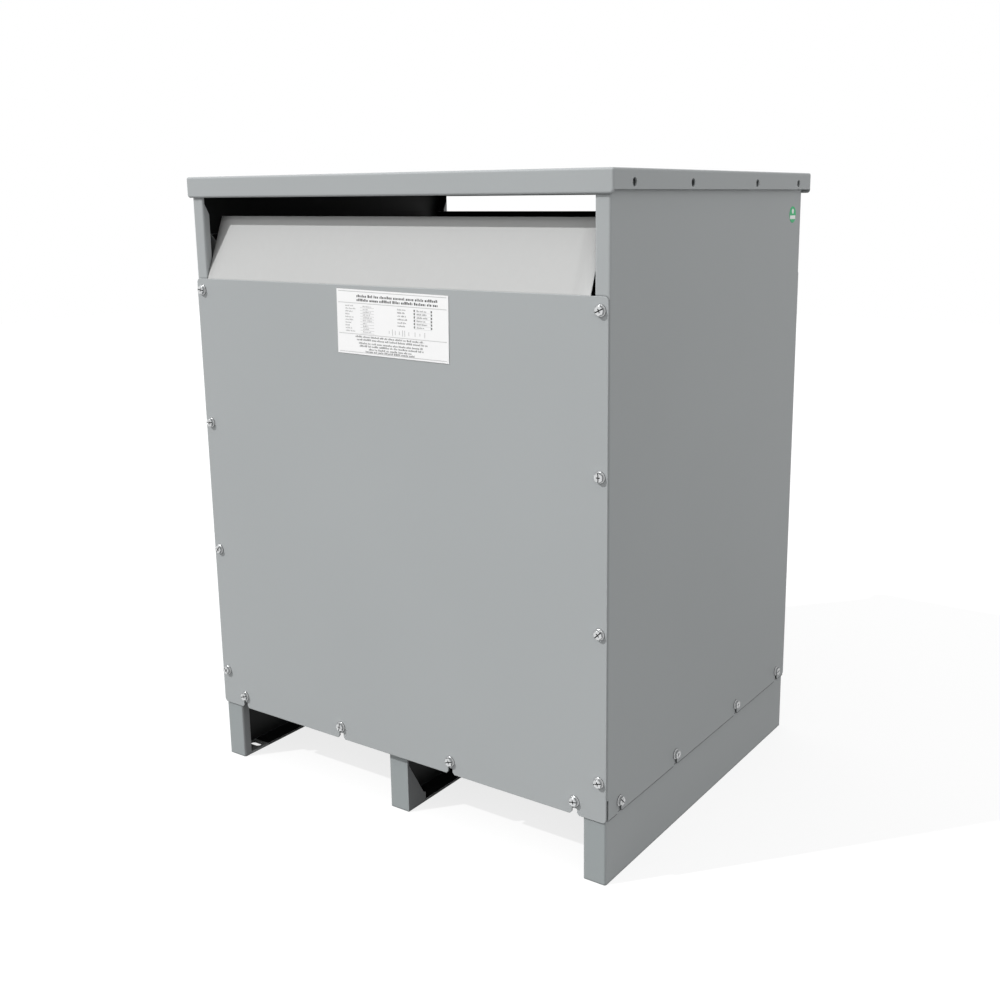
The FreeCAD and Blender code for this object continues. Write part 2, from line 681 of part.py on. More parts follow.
lid = start("top_cover")
sketch = sketch_on(lid, "top", "overall_height - lid_end_lip")
rectangle(sketch, f"-{LID_SIDE}", LID_SIDE, LID_FRONT, LID_REAR)
pad(sketch, "lid_end_lip")
soften(lid, "front", [(f"{side} * {LID_SIDE}", "overall_height - lid_end_lip") for side in (-1, 1)],
       "lid_corner")
soften(lid, "front", [(f"{side} * {LID_SIDE}", "overall_height") for side in (-1, 1)], "fold_radius")
soften(lid, "side", [(place, "overall_height") for place in (LID_FRONT, LID_REAR)], "fold_radius")
sketch = sketch_on(lid, "top", "overall_height - lid_end_lip")
rectangle(sketch, f"-({LID_SIDE} - lid_sheet)", f"{LID_SIDE} - lid_sheet",
          f"{LID_FRONT} + lid_sheet", f"{LID_REAR} - lid_sheet")
pocket(sketch, "lid_end_lip - lid_sheet")
for side in (-1, 1):
    sketch = sketch_on(lid, "side", f"{side} * {LID_SIDE}")
    rectangle(sketch, f"{LID_FRONT} + lid_sheet", f"{LID_REAR} - lid_sheet",
              "overall_height - lid_end_lip", "overall_height - lid_side_lip")
    pocket(sketch, "lid_sheet", -side)
    sketch = sketch_on(lid, "side", f"{side} * {LID_SIDE}")
    for place in (f"{LID_FRONT} + lid_hole_end", f"{LID_MIDDLE} - lid_hole_inner",
                  f"{LID_MIDDLE} + lid_hole_inner", f"{LID_REAR} - lid_hole_end"):
        circle(sketch, place, "overall_height - lid_side_lip + lid_hole_edge", "lid_hole / 2")
    pocket(sketch, "lid_sheet", -side)
keep(lid)

# Core supports: two hat channels across the three rails, bolted to the outer ones.


def core_support(name, end):
    """A hat channel: flat top, two sides and a lip along each lower edge."""
    hat = start(name)
    middle = f"(core_shift + {end} * {SUPPORT_OFF})"
    half_top = "support_width / 2"
    reach = f"({INNER_WALL} - support_end_gap)"
    top = "rail_height + support_height"
    sketch = sketch_on(hat, "side", f"-{reach}")
    outline(sketch, [(f"{middle} - {half_top} - support_lip", "rail_height"),
                     (f"{middle} - {half_top} + frame_sheet", "rail_height"),
                     (f"{middle} - {half_top} + frame_sheet", f"{top} - frame_sheet"),
                     (f"{middle} + {half_top} - frame_sheet", f"{top} - frame_sheet"),
                     (f"{middle} + {half_top} - frame_sheet", "rail_height"),
                     (f"{middle} + {half_top} + support_lip", "rail_height"),
                     (f"{middle} + {half_top} + support_lip", "rail_height + frame_sheet"),
                     (f"{middle} + {half_top}", "rail_height + frame_sheet"),
                     (f"{middle} + {half_top}", top), (f"{middle} - {half_top}", top),
                     (f"{middle} - {half_top}", "rail_height + frame_sheet"),
                     (f"{middle} - {half_top} - support_lip", "rail_height + frame_sheet")])
    pad(sketch, f"2 * {reach}")
    soften(hat, "side", [(f"{middle} - {half_top}", top), (f"{middle} + {half_top}", top)], "fold_radius")
    sketch = sketch_on(hat, "top", "rail_height")
    for across, place in SUPPORT_BOLTS:
        if f"+ {end} *" in place:
            circle(sketch, across, place, "support_bolt / 2 + hole_gap")
    for side in (-1, 1):
        circle(sketch, f"{side} * pad_spread", middle, "pad_bolt / 2 + hole_gap")
    pocket(sketch, "support_height")
    return keep(hat)


for name, end in ENDS.items():
    core_support(f"{name}_core_support", end)

# Rubber pads: round pads between the supports and the lower clamps, which keep the hum of the
# core out of the housing.
for name, end in ENDS.items():
    for word, side in SIDES.items():
        rubber = start(f"{name}_{word}_pad")
        sketch = sketch_on(rubber, "top", "rail_height + support_height")
        centre = (f"{side} * pad_spread", f"core_shift + {end} * {SUPPORT_OFF}")
        circle(sketch, *centre, "pad_radius")
        circle(sketch, *centre, "pad_bolt / 2 + hole_gap")
        pad(sketch, "pad_height")
        keep(rubber)

# Core: an E of stacked silicon steel laminations, closed by the top yoke once the coils are on.
CORE_BASE = "(rail_height + support_height + pad_height)"
YOKE_TOP = f"({CORE_BASE} + limb_width)"
WINDOW_TOP = f"({YOKE_TOP} + coil_length + 2 * coil_end_gap)"
CORE_TOP = f"({WINDOW_TOP} + limb_width)"
COIL_HALF = "(limb_width / 2 + coil_gap + low_build + duct_depth + high_build)"
COIL_DEEP = "(core_stack / 2 + coil_gap + low_build + duct_depth + high_build)"
PITCH = f"(2 * {COIL_HALF} + phase_gap)"
CORE_FACE = "core_shift - core_stack / 2"
YOKE_BOLTS = [f"{step} * yoke_bolt_spread" for step in (-1, 0, 1)]
YOKE_LEVELS = [f"{CORE_BASE} + limb_width / 2", f"{WINDOW_TOP} + limb_width / 2"]

core = start("core_stack")
CORE_HALF = f"({PITCH} + limb_width / 2)"
sketch = sketch_on(core, "front", CORE_FACE)
outline(sketch, [(f"-{CORE_HALF}", CORE_BASE), (CORE_HALF, CORE_BASE), (CORE_HALF, WINDOW_TOP),
                 (f"{PITCH} - limb_width / 2", WINDOW_TOP), (f"{PITCH} - limb_width / 2", YOKE_TOP),
                 ("limb_width / 2", YOKE_TOP), ("limb_width / 2", WINDOW_TOP),
                 ("-limb_width / 2", WINDOW_TOP), ("-limb_width / 2", YOKE_TOP),
                 (f"-{PITCH} + limb_width / 2", YOKE_TOP), (f"-{PITCH} + limb_width / 2", WINDOW_TOP),
                 (f"-{CORE_HALF}", WINDOW_TOP)])
pad(sketch, "core_stack")
sketch = sketch_on(core, "front", CORE_FACE)
for place in YOKE_BOLTS:
    circle(sketch, place, YOKE_LEVELS[0], "yoke_bolt / 2 + hole_gap")
pocket(sketch, "core_stack")
keep(core)

yoke = start("top_yoke")
sketch = sketch_on(yoke, "front", CORE_FACE)
rectangle(sketch, f"-{CORE_HALF}", CORE_HALF, WINDOW_TOP, CORE_TOP)
for place in YOKE_BOLTS:
    circle(sketch, place, YOKE_LEVELS[1], "yoke_bolt / 2 + hole_gap")
pad(sketch, "core_stack")
keep(yoke)

# Yoke clamps: steel channels with their webs on both faces of both yokes, drawn together by
# bolts through the yokes and tied top to bottom by rods past the coils.
ROD_SIDE = f"({PITCH} + {COIL_HALF} + tie_rod_gap)"


def clamp(name, end, level, holes):
    """A channel that opens away from the yoke, with its web against it."""
    channel = start(name)
    web = "core_stack / 2"
    back = "(core_stack / 2 + clamp_sheet)"
    tip = "(core_stack / 2 + clamp_sheet + clamp_flange)"
    top = f"{level} + limb_width"
    reach = f"({ROD_SIDE} + tie_rod_edge)"
    sketch = sketch_on(channel, "side", f"-{reach}")
    outline(sketch, [(f"core_shift + {end} * {web}", level), (f"core_shift + {end} * {tip}", level),
                     (f"core_shift + {end} * {tip}", f"{level} + clamp_sheet"),
                     (f"core_shift + {end} * {back}", f"{level} + clamp_sheet"),
                     (f"core_shift + {end} * {back}", f"{top} - clamp_sheet"),
                     (f"core_shift + {end} * {tip}", f"{top} - clamp_sheet"),
                     (f"core_shift + {end} * {tip}", top), (f"core_shift + {end} * {web}", top)])
    pad(sketch, f"2 * {reach}")
    sketch = sketch_on(channel, "front", f"core_shift + {end} * {web}")
    for place in YOKE_BOLTS:
        circle(sketch, place, f"{level} + limb_width / 2", "yoke_bolt / 2 + hole_gap")
    pocket(sketch, "clamp_sheet", end)
    for low, places, radius in holes:
        sketch = sketch_on(channel, "top", low)
        for place in places:
            circle(sketch, place, f"core_shift + {end} * {SUPPORT_OFF}", radius)
        pocket(sketch, "clamp_sheet")
    return keep(channel)


RODS = [f"{side} * {ROD_SIDE}" for side in (-1, 1)]
FEET = [f"{side} * pad_spread" for side in (-1, 1)]
for name, end in ENDS.items():
    clamp(f"lower_{name}_clamp", end, CORE_BASE,
          [(CORE_BASE, FEET, "pad_bolt / 2 + hole_gap"),
           (f"{YOKE_TOP} - clamp_sheet", RODS, "tie_rod / 2 + hole_gap")])
    clamp(f"upper_{name}_clamp", end, WINDOW_TOP, [(WINDOW_TOP, RODS, "tie_rod / 2 + hole_gap")])

# Coils: each phase has a low voltage winding on its limb, an air duct held open by sticks,
# and a high voltage winding round that. All are wound on a mandrel with rounded corners.
PHASES = {"left": -1, "middle": 0, "right": 1}


def winding(name, phase, clear, build):
    """A wound ring with rounded corners, a stated distance clear of its limb."""
    coil = start(name)
    middle = f"{phase} * {PITCH}"
    sketch = sketch_on(coil, "top", f"{YOKE_TOP} + coil_end_gap")
    rings = []
    for layer in (clear, f"{clear} + {build}"):
        across = f"(limb_width / 2 + {layer})"
        deep = f"(core_stack / 2 + {layer})"
        rectangle(sketch, f"{middle} - {across}", f"{middle} + {across}",
                  f"core_shift - {deep}", f"core_shift + {deep}")
        rings.append((across, deep, f"coil_corner + {layer} - coil_gap"))
    pad(sketch, "coil_length")
    for across, deep, radius in rings:
        soften(coil, "top", [(f"{middle} + {side} * {across}", f"core_shift + {end} * {deep}")
                             for side in (-1, 1) for end in (-1, 1)], radius)
    return keep(coil)


for name, phase in PHASES.items():
    winding(f"{name}_low_voltage_coil", phase, "coil_gap", "low_build")
    winding(f"{name}_high_voltage_coil", phase, "coil_gap + low_build + duct_depth", "high_build")

# Duct sticks: glass fibre sticks that stand in the ducts between the windings.
LOW_OUT = "(core_stack / 2 + coil_gap + low_build)"
LOW_SIDE = "(limb_width / 2 + coil_gap + low_build)"
sticks = start("duct_sticks")
sketch = sketch_on(sticks, "top", f"{YOKE_TOP} + coil_end_gap")
for phase in PHASES.values():
    for step in (-0.5, 0.5):
        for end in (-1, 1):
            middle = f"{phase} * {PITCH} + {step} * stick_pitch"
            rectangle(sketch, f"{middle} - stick_width / 2", f"{middle} + stick_width / 2",
                      f"core_shift + {end} * {LOW_OUT}", f"core_shift + {end} * ({LOW_OUT} + duct_depth)")
            middle = f"core_shift + {step} * stick_pitch"
            rectangle(sketch, f"{phase} * {PITCH} + {end} * {LOW_SIDE}",
                      f"{phase} * {PITCH} + {end} * ({LOW_SIDE} + duct_depth)",
                      f"{middle} - stick_width / 2", f"{middle} + stick_width / 2")
pad(sketch, "coil_length")
keep(sticks)

# Phase barriers: insulating boards between neighbouring coils, from yoke to yoke.
for name, side in SIDES.items():
    barrier = start(f"{name}_phase_barrier")
    sketch = sketch_on(barrier, "side", f"{side} * {PITCH} / 2 - barrier_sheet / 2")
    rectangle(sketch, f"core_shift - {COIL_DEEP} - barrier_reach", f"core_shift + {COIL_DEEP} + barrier_reach",
              YOKE_TOP, WINDOW_TOP)
    pad(sketch, "barrier_sheet")
    keep(barrier)

# Coil blocks: insulating blocks on the clamps' flanges, which hold the coils clear of the yokes.


def coil_blocks(name, level):
    """Four blocks for each coil, between a clamp's flange and the windings' ends."""
    blocks = start(name)
    sketch = sketch_on(blocks, "top", level)
    near = "(core_stack / 2 + clamp_sheet)"
    for phase in PHASES.values():
        for side in (-1, 1):
            middle = f"{phase} * {PITCH} + {side} * block_spread"
            for end in (-1, 1):
                rectangle(sketch, f"{middle} - block_width / 2", f"{middle} + block_width / 2",
                          f"core_shift + {end} * {near}", f"core_shift + {end} * {COIL_DEEP}")
    pad(sketch, "coil_end_gap")
    return keep(blocks)


coil_blocks("lower_coil_blocks", YOKE_TOP)
coil_blocks("upper_coil_blocks", f"{WINDOW_TOP} - coil_end_gap")

# Low voltage bars: flat bars that lie on the coils' ends and turn down in front as terminals.
# At the back a bar with three fingers joins the windings' other ends as the neutral.
BAR_LEVEL = f"({WINDOW_TOP} - coil_end_gap)"
BAR_INNER = "(core_stack / 2 + coil_gap)"
for name, phase in PHASES.items():
    bar = start(f"{name}_low_voltage_bar")
    sketch = sketch_on(bar, "side", f"{phase} * {PITCH} - bar_width / 2")
    tip = f"core_shift - {COIL_DEEP} - bar_reach"
    outline(sketch, [(f"core_shift - {BAR_INNER}", BAR_LEVEL),
                     (f"core_shift - {BAR_INNER}", f"{BAR_LEVEL} + bar_sheet"),
                     (tip, f"{BAR_LEVEL} + bar_sheet"), (tip, f"{BAR_LEVEL} + bar_sheet - bar_drop"),
                     (f"{tip} + bar_sheet", f"{BAR_LEVEL} + bar_sheet - bar_drop"),
                     (f"{tip} + bar_sheet", BAR_LEVEL)])
    pad(sketch, "bar_width")
    soften(bar, "side", [(tip, f"{BAR_LEVEL} + bar_sheet")], "bar_bend")
    sketch = sketch_on(bar, "front", tip)
    for step in (0, 1):
        circle(sketch, f"{phase} * {PITCH}",
               f"{BAR_LEVEL} + bar_sheet - bar_drop + bar_hole_first + {step} * bar_hole_pitch", "bar_hole / 2")
    pocket(sketch, "bar_sheet")
    keep(bar)

neutral = start("neutral_bar")
BAR_BACK = f"core_shift + {COIL_DEEP} + barrier_reach + 2 * seat_gap + neutral_width"
sketch = sketch_on(neutral, "top", BAR_LEVEL)
rectangle(sketch, f"-{PITCH} - bar_width / 2", f"{PITCH} + bar_width / 2", f"{BAR_BACK} - neutral_width", BAR_BACK)
pad(sketch, "bar_sheet")
sketch = sketch_on(neutral, "top", BAR_LEVEL)
for phase in PHASES.values():
    rectangle(sketch, f"{phase} * {PITCH} - bar_width / 2", f"{phase} * {PITCH} + bar_width / 2",
              f"core_shift + {BAR_INNER}", BAR_BACK)
pad(sketch, "bar_sheet")
sketch = sketch_on(neutral, "top", BAR_LEVEL)
for step in (-1, 1):
    circle(sketch, f"{step} * {PITCH} / 2", f"{BAR_BACK} - neutral_hole_edge", "bar_hole / 2")
pocket(sketch, "bar_sheet")
keep(neutral)

# Tap boards: a board on the front of each high voltage winding with a column of tap studs.
# Flat links join the phases in a ring from stud to stud.
BOARD_LOW = f"({YOKE_TOP} + coil_end_gap + board_foot)"
BOARD_FACE = f"(core_shift - {COIL_DEEP} - board_depth)"
STUDS = range(5)


def stud_level(row):
    """The height of one row of tap studs."""
    return f"({BOARD_LOW} + stud_edge + {row} * stud_pitch)"


for name, phase in PHASES.items():
    board = start(f"{name}_tap_board")
    sketch = sketch_on(board, "front", BOARD_FACE)
    rectangle(sketch, f"{phase} * {PITCH} - board_width / 2", f"{phase} * {PITCH} + board_width / 2",
              BOARD_LOW, f"{stud_level(max(STUDS))} + stud_edge")
    for row in STUDS:
        circle(sketch, f"{phase} * {PITCH}", stud_level(row), "stud_shank / 2 + thread_gap")
    pad(sketch, "board_depth")
    keep(board)

# Each link runs at one row of studs, between two phases.
LINKS = {"left": (-1, 0, 4), "right": (0, 1, 3), "outer": (-1, 1, 0)}
for name, (first, last, row) in LINKS.items():
    link = start(f"{name}_phase_link")
    sketch = sketch_on(link, "front", BOARD_FACE)
    slot(sketch, f"({first} + {last}) / 2 * {PITCH}", stud_level(row),
         f"({last - first} * {PITCH} + link_width)", "link_width")
    for phase in range(first, last + 1):
        circle(sketch, f"{phase} * {PITCH}", stud_level(row), "stud_shank / 2 + hole_gap")
    pad(sketch, "link_sheet", -1)
    keep(link)

# Ground lug: a block on the front cross member with a hole for the conductor.
lug = start("ground_lug")
sketch = sketch_on(lug, "top", "rail_height + frame_sheet")
LUG_BACK = f"(-{END} + cross_seat)"
rectangle(sketch, "lug_side - lug_width / 2", "lug_side + lug_width / 2", f"{LUG_BACK} - lug_depth", LUG_BACK)
pad(sketch, "lug_height")
sketch = sketch_on(lug, "front", LUG_BACK)
circle(sketch, "lug_side", "rail_height + frame_sheet + lug_bore_up", "lug_bore / 2")
pocket(sketch, "lug_depth", -1)
sketch = sketch_on(lug, "top", "rail_height + frame_sheet + lug_height")
circle(sketch, "lug_side", f"{LUG_BACK} - lug_depth / 2", "lug_screw / 2")
pocket(sketch, "lug_screw_depth", -1)
keep(lug)

# Fasteners: every set of like screws, bolts or rods is one node of separate solids.
OUT = {-1: "front", 1: "back"}
for name, end in ENDS.items():
    face = f"{end} * ({END} + cover_sheet)"
    fasteners(f"{name}_cover_screws",
              [(screw, OUT[end], [(across, face, up) for across, up in COLUMN_SCREWS]
                + [(across, face, BASE_ROW) for across in END_SCREWS])])
fasteners("side_panel_screws",
          [(screw, name, [(f"{side} * {HALF}", place, BASE_ROW) for place in SIDE_SCREWS])
           for name, side in SIDES.items()])


def bolt(name, flats, head, shank, length, nut_at, nut):
    """A hex bolt, head up, with its nut at a stated depth below the head."""
    body = start(name)
    sketch = sketch_on(body, "top")
    hexagon(sketch, flats)
    pad(sketch, head)
    sketch = sketch_on(body, "top")
    circle(sketch, 0, 0, f"{shank} / 2")
    pad(sketch, length, -1)
    if nut:
        sketch = sketch_on(body, "top", f"-({nut_at})")
        hexagon(sketch, flats)
        circle(sketch, 0, 0, f"{shank} / 2 + thread_gap")
        pad(sketch, nut, -1)
    return body


YOKE_GRIP = "core_stack + 2 * clamp_sheet"
yoke_bolt = bolt("yoke_bolt", "yoke_bolt_flats", "yoke_bolt_head", "yoke_bolt",
                 f"{YOKE_GRIP} + yoke_nut_height + rod_spare", YOKE_GRIP, "yoke_nut_height")
fasteners("yoke_bolts", [(yoke_bolt, "front", [(place, f"{CORE_FACE} - clamp_sheet", level)
                                               for level in YOKE_LEVELS for place in YOKE_BOLTS])])

pad_bolt = bolt("pad_bolt", "pad_bolt_flats", "pad_bolt_head", "pad_bolt",
                "clamp_sheet + pad_height + frame_sheet + pad_bolt_spare",
                "clamp_sheet + pad_height + frame_sheet", "nut_height")
fasteners("pad_bolts", [(pad_bolt, "up", [(place, f"core_shift + {end} * {SUPPORT_OFF}",
                                           f"{CORE_BASE} + clamp_sheet")
                                          for place in FEET for end in (-1, 1)])])

support_bolt = bolt("support_bolt", "support_bolt_flats", "support_bolt_head", "support_bolt",
                    "support_bolt_length", "2 * frame_sheet", "support_bolt_head")
fasteners("support_bolts", [(support_bolt, "up", [(across, place, "rail_height + frame_sheet")
                                                  for across, place in SUPPORT_BOLTS])])

tap_stud = bolt("tap_stud", "stud_flats", "stud_head", "stud_shank", "board_depth", 0, None)
link_stud = bolt("link_stud", "stud_flats", "stud_head", "stud_shank", "board_depth + link_sheet", 0, None)
linked = {(phase, row) for first, last, row in LINKS.values() for phase in range(first, last + 1)}
plain = [(phase, row) for phase in PHASES.values() for row in STUDS if (phase, row) not in linked]
fasteners("tap_studs",
          [(tap_stud, "front", [(f"{phase} * {PITCH}", BOARD_FACE, stud_level(row)) for phase, row in plain]),
           (link_stud, "front", [(f"{phase} * {PITCH}", f"{BOARD_FACE} - link_sheet", stud_level(row))
                                 for phase, row in sorted(linked)])])

# A tie rod is threaded at both ends, with a nut under the lower flange and one over the upper.
ROD_GRIP = "coil_length + 2 * coil_end_gap + 2 * clamp_sheet"
rod = start("tie_rod_pair")
sketch = sketch_on(rod, "top", "nut_height + rod_spare")
circle(sketch, 0, 0, "tie_rod / 2")
pad(sketch, f"{ROD_GRIP} + 2 * nut_height + 2 * rod_spare", -1)
for level in (0, f"-({ROD_GRIP}) - nut_height"):
    sketch = sketch_on(rod, "top", level)
    hexagon(sketch, "nut_flats")
    circle(sketch, 0, 0, "tie_rod / 2 + thread_gap")
    pad(sketch, "nut_height")
fasteners("tie_rods", [(rod, "up", [(place, f"core_shift + {end} * {SUPPORT_OFF}",
                                     f"{WINDOW_TOP} + clamp_sheet")
                                    for place in RODS for end in (-1, 1)])])

# Data plate: a thin plate on the front cover, stuck on very slightly out of level.


def tilted(across, up):
    """A corner of the data plate, turned about the plate's centre."""
    out = f"{across} * plate_width / 2"
    rise = f"{up} * plate_height / 2"
    return (f"plate_across + {out} * cos(plate_tilt) + {rise} * sin(plate_tilt)",
            f"{COVER_TOP} - plate_drop - {out} * sin(plate_tilt) + {rise} * cos(plate_tilt)")


plate = start("data_plate")
sketch = sketch_on(plate, "front", f"-{END} - cover_sheet")
outline(sketch, [tilted(-1, -1), tilted(1, -1), tilted(1, 1), tilted(-1, 1)])
pad(sketch, "plate_sheet", -1)
keep(plate)

# Round sticker: high on the right side panel, near the back.
sticker = start("round_sticker")
sketch = sketch_on(sticker, "side", HALF)
circle(sketch, f"{END} - sticker_end_inset", "overall_height - sticker_drop", "sticker_radius")
pad(sketch, "sticker_sheet")
keep(sticker)

doc.recompute()
for item in doc.Objects:
    if "Invalid" in item.State or "Error" in item.State:
        raise ValueError(f"{item.Name} did not build: {item.State}")
    if item.TypeId == "PartDesign::Pocket" and item.Shape.Volume >= item.BaseFeature.Shape.Volume:
        raise ValueError(f"{item.Name} cuts nothing")
os.makedirs("parts", exist_ok=True)
for item in nodes:
    if item.Shape.isNull() or not item.Shape.isValid():
        raise ValueError(f"{item.Label} has no valid shape")
for item in nodes:
    item.Shape.exportStep(f"parts/{item.Label}.step")
print(len(nodes), "pieces,", sum(len(item.Shape.Solids) for item in nodes), "solids")
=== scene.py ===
import math

import bmesh
import bpy
import numpy as np
from mathutils import Matrix, Vector


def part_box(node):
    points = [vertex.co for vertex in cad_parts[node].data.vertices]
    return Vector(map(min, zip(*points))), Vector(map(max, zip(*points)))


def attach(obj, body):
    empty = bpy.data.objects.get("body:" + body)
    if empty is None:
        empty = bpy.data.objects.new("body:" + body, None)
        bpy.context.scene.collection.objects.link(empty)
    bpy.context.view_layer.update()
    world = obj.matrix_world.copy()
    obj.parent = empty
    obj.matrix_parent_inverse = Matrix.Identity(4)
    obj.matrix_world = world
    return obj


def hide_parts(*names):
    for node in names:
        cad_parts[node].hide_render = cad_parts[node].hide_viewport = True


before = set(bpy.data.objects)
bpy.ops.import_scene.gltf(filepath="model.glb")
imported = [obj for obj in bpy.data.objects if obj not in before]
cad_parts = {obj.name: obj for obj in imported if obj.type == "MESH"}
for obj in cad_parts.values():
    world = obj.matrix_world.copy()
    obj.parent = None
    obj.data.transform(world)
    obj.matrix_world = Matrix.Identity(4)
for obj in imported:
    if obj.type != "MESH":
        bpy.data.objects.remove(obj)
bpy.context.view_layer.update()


# Housing: covers, side panels, lid, rails, cross members and supports, all of folded sheet steel.
# The sheets are cut, folded, welded where they meet, and baked with a light grey powder coat.
# Faces within are painted near black, a painted shade; cut edges are painted paler, a painted highlight.

HOUSING_PIECES = (
    "rail_left", "rail_right", "rail_centre", "front_cross_member", "rear_cross_member",
    "front_core_support", "rear_core_support", "side_panel_left", "side_panel_right",
    "front_left_stiffener", "front_right_stiffener", "rear_left_stiffener", "rear_right_stiffener",
    "front_cover", "rear_cover", "top_cover")


def node(tree, kind, feeds=None, **settings):
    """A shader node with its settings, and its inputs tied to another node's socket or given a value."""
    made = tree.nodes.new("ShaderNode" + kind)
    for name, setting in settings.items():
        setattr(made, name, setting)
    for place, feed in (feeds or {}).items():
        if isinstance(feed, bpy.types.NodeSocket):
            tree.links.new(feed, made.inputs[place])
        else:
            made.inputs[place].default_value = feed
    return made


def value(tree, operation, *terms, **settings):
    """The result of one Math node on one to three terms."""
    return node(tree, "Math", dict(enumerate(terms)), operation=operation, **settings).outputs[0]


def less(tree, first, second):
    """1 where the first is less than the second, else 0."""
    return value(tree, "LESS_THAN", first, second)


def both(tree, *masks):
    """1 where every mask is 1."""
    found = masks[0]
    for mask in masks[1:]:
        found = value(tree, "MULTIPLY", found, mask)
    return found


def parts_of(tree, vector):
    """The X, Y and Z parts of a vector."""
    return node(tree, "SeparateXYZ", {0: vector}).outputs


def scaled(tree, vector, amount):
    """A vector or a colour times an amount."""
    return node(tree, "VectorMath", {0: vector, "Scale": amount}, operation="SCALE").outputs[0]


def blend(tree, amount, first, second):
    """The first colour where the amount is 0, the second where it is 1."""
    return node(tree, "Mix", {"Factor": amount, "A": first, "B": second}, data_type="RGBA").outputs["Result"]


def ramp(tree, amount, low, high, top=1.0):
    """0 at low, the top value at high, and a straight rise between them."""
    return node(tree, "MapRange", {"Value": amount, "From Min": low, "From Max": high,
                                   "To Max": top}).outputs["Result"]


def noise(tree, place, scale, detail, **feeds):
    """Soft noise with a stated number of waves to the metre."""
    return node(tree, "TexNoise", {"Vector": place, "Scale": scale, "Detail": detail, **feeds}).outputs["Fac"]


def bump(tree, height, distance, strength, **feeds):
    """The normal of a surface that a height from 0 to 1 raises by up to a distance."""
    return node(tree, "Bump", {"Height": height, "Distance": distance, "Strength": strength,
                               **feeds}).outputs["Normal"]


def group(name, inputs, outputs):
    """A new node group with named sockets, and the sockets inside it that bring values in and out."""
    tree = bpy.data.node_groups.new(name, "ShaderNodeTree")
    for label, kind in inputs.items():
        tree.interface.new_socket(label, in_out="INPUT", socket_type="NodeSocket" + kind)
    for label, kind in outputs.items():
        tree.interface.new_socket(label, in_out="OUTPUT", socket_type="NodeSocket" + kind)
    return tree, tree.nodes.new("NodeGroupInput").outputs, tree.nodes.new("NodeGroupOutput").inputs


def place_group(tree, name, feeds):
    """One use of a node group in a material, with its own values."""
    return node(tree, "Group", feeds, node_tree=bpy.data.node_groups[name]).outputs


def finish_of(name, **constants):
    """A material with its shader's own sockets set, the tree to build in and a way to tie a socket."""
    made = bpy.data.materials.new(name)
    made.use_nodes = True
    shader = made.node_tree.nodes["Principled BSDF"]
    for label, constant in constants.items():
        shader.inputs[label.replace("_", " ").title().replace("Ior", "IOR")].default_value = constant

    def tie(label, socket):
        made.node_tree.links.new(socket, shader.inputs[label])
    return made, made.node_tree, tie


def place_of(tree):
    """The object coordinates, which are metres in the frame."""
    return node(tree, "TexCoord").outputs["Object"]


def paint_pieces(names, finish):
    """Give carried-over pieces their material."""
    for name in names:
        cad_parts[name].data.materials.clear()
        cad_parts[name].data.materials.append(finish)


# Cut edge: where the normal of a softly rounded surface leaves the flat one's; painted paler, a painted
# highlight.
# Crease: where near surfaces close a point in and little light comes; painted dark, a painted shade.
CREASE_OPEN = 0.9            # open share above which there is no crease
CREASE_GAIN = 1.6
EDGE_GAIN = 5.0
EDGE_OPEN = 0.6              # open share above which an edge gets the painted highlight

tree, given, result = group("cut_edge", {"Radius": "Float", "Reach": "Float"},
                            {"Normal": "Vector", "Edge": "Float", "Crease": "Float"})
rounded = node(tree, "Bevel", {"Radius": given["Radius"]}, samples=8).outputs[0]
flat = node(tree, "NewGeometry").outputs["Normal"]
alike = node(tree, "VectorMath", {0: rounded, 1: flat}, operation="DOT_PRODUCT").outputs["Value"]
open_share = node(tree, "AmbientOcclusion", {"Distance": given["Reach"]}, samples=8).outputs["AO"]
closed = value(tree, "MULTIPLY", value(tree, "SUBTRACT", CREASE_OPEN, open_share), CREASE_GAIN,
               use_clamp=True)
apart = value(tree, "MULTIPLY", value(tree, "SUBTRACT", 1.0, alike), EDGE_GAIN, use_clamp=True)
tree.links.new(rounded, result["Normal"])
tree.links.new(value(tree, "MULTIPLY", apart, value(tree, "GREATER_THAN", open_share, EDGE_OPEN)),
               result["Edge"])
tree.links.new(closed, result["Crease"])

# Coat: broad drift in the shade, a fine speckle, and the orange peel that a baked powder leaves.
tree, given, result = group(
    "baked_coat", {"Place": "Vector", "Colour": "Color", "Drift": "Float", "Gloss": "Float"},
    {"Colour": "Color", "Roughness": "Float", "Peel": "Float"})
broad = noise(tree, given["Place"], 5.0, 3.0)
speck = noise(tree, given["Place"], 2600.0, 1.0)
peel = noise(tree, given["Place"], 620.0, 2.0, Roughness=0.4)
mixed = value(tree, "ADD", broad, value(tree, "MULTIPLY", speck, 0.5))
shade = value(tree, "MULTIPLY_ADD", value(tree, "SUBTRACT", mixed, 0.75), given["Drift"], 1.0)
tree.links.new(scaled(tree, given["Colour"], shade), result["Colour"])
tree.links.new(value(tree, "MULTIPLY_ADD", value(tree, "SUBTRACT", peel, 0.5), 0.12, given["Gloss"]),
               result["Roughness"])
tree.links.new(peel, result["Peel"])


CREASE_REACH = 0.003         # how near a surface closes a crease
# The colour of the painted shade in creases.
CREASE_PAINTED_SHADE = (0.03, 0.032, 0.033, 1)


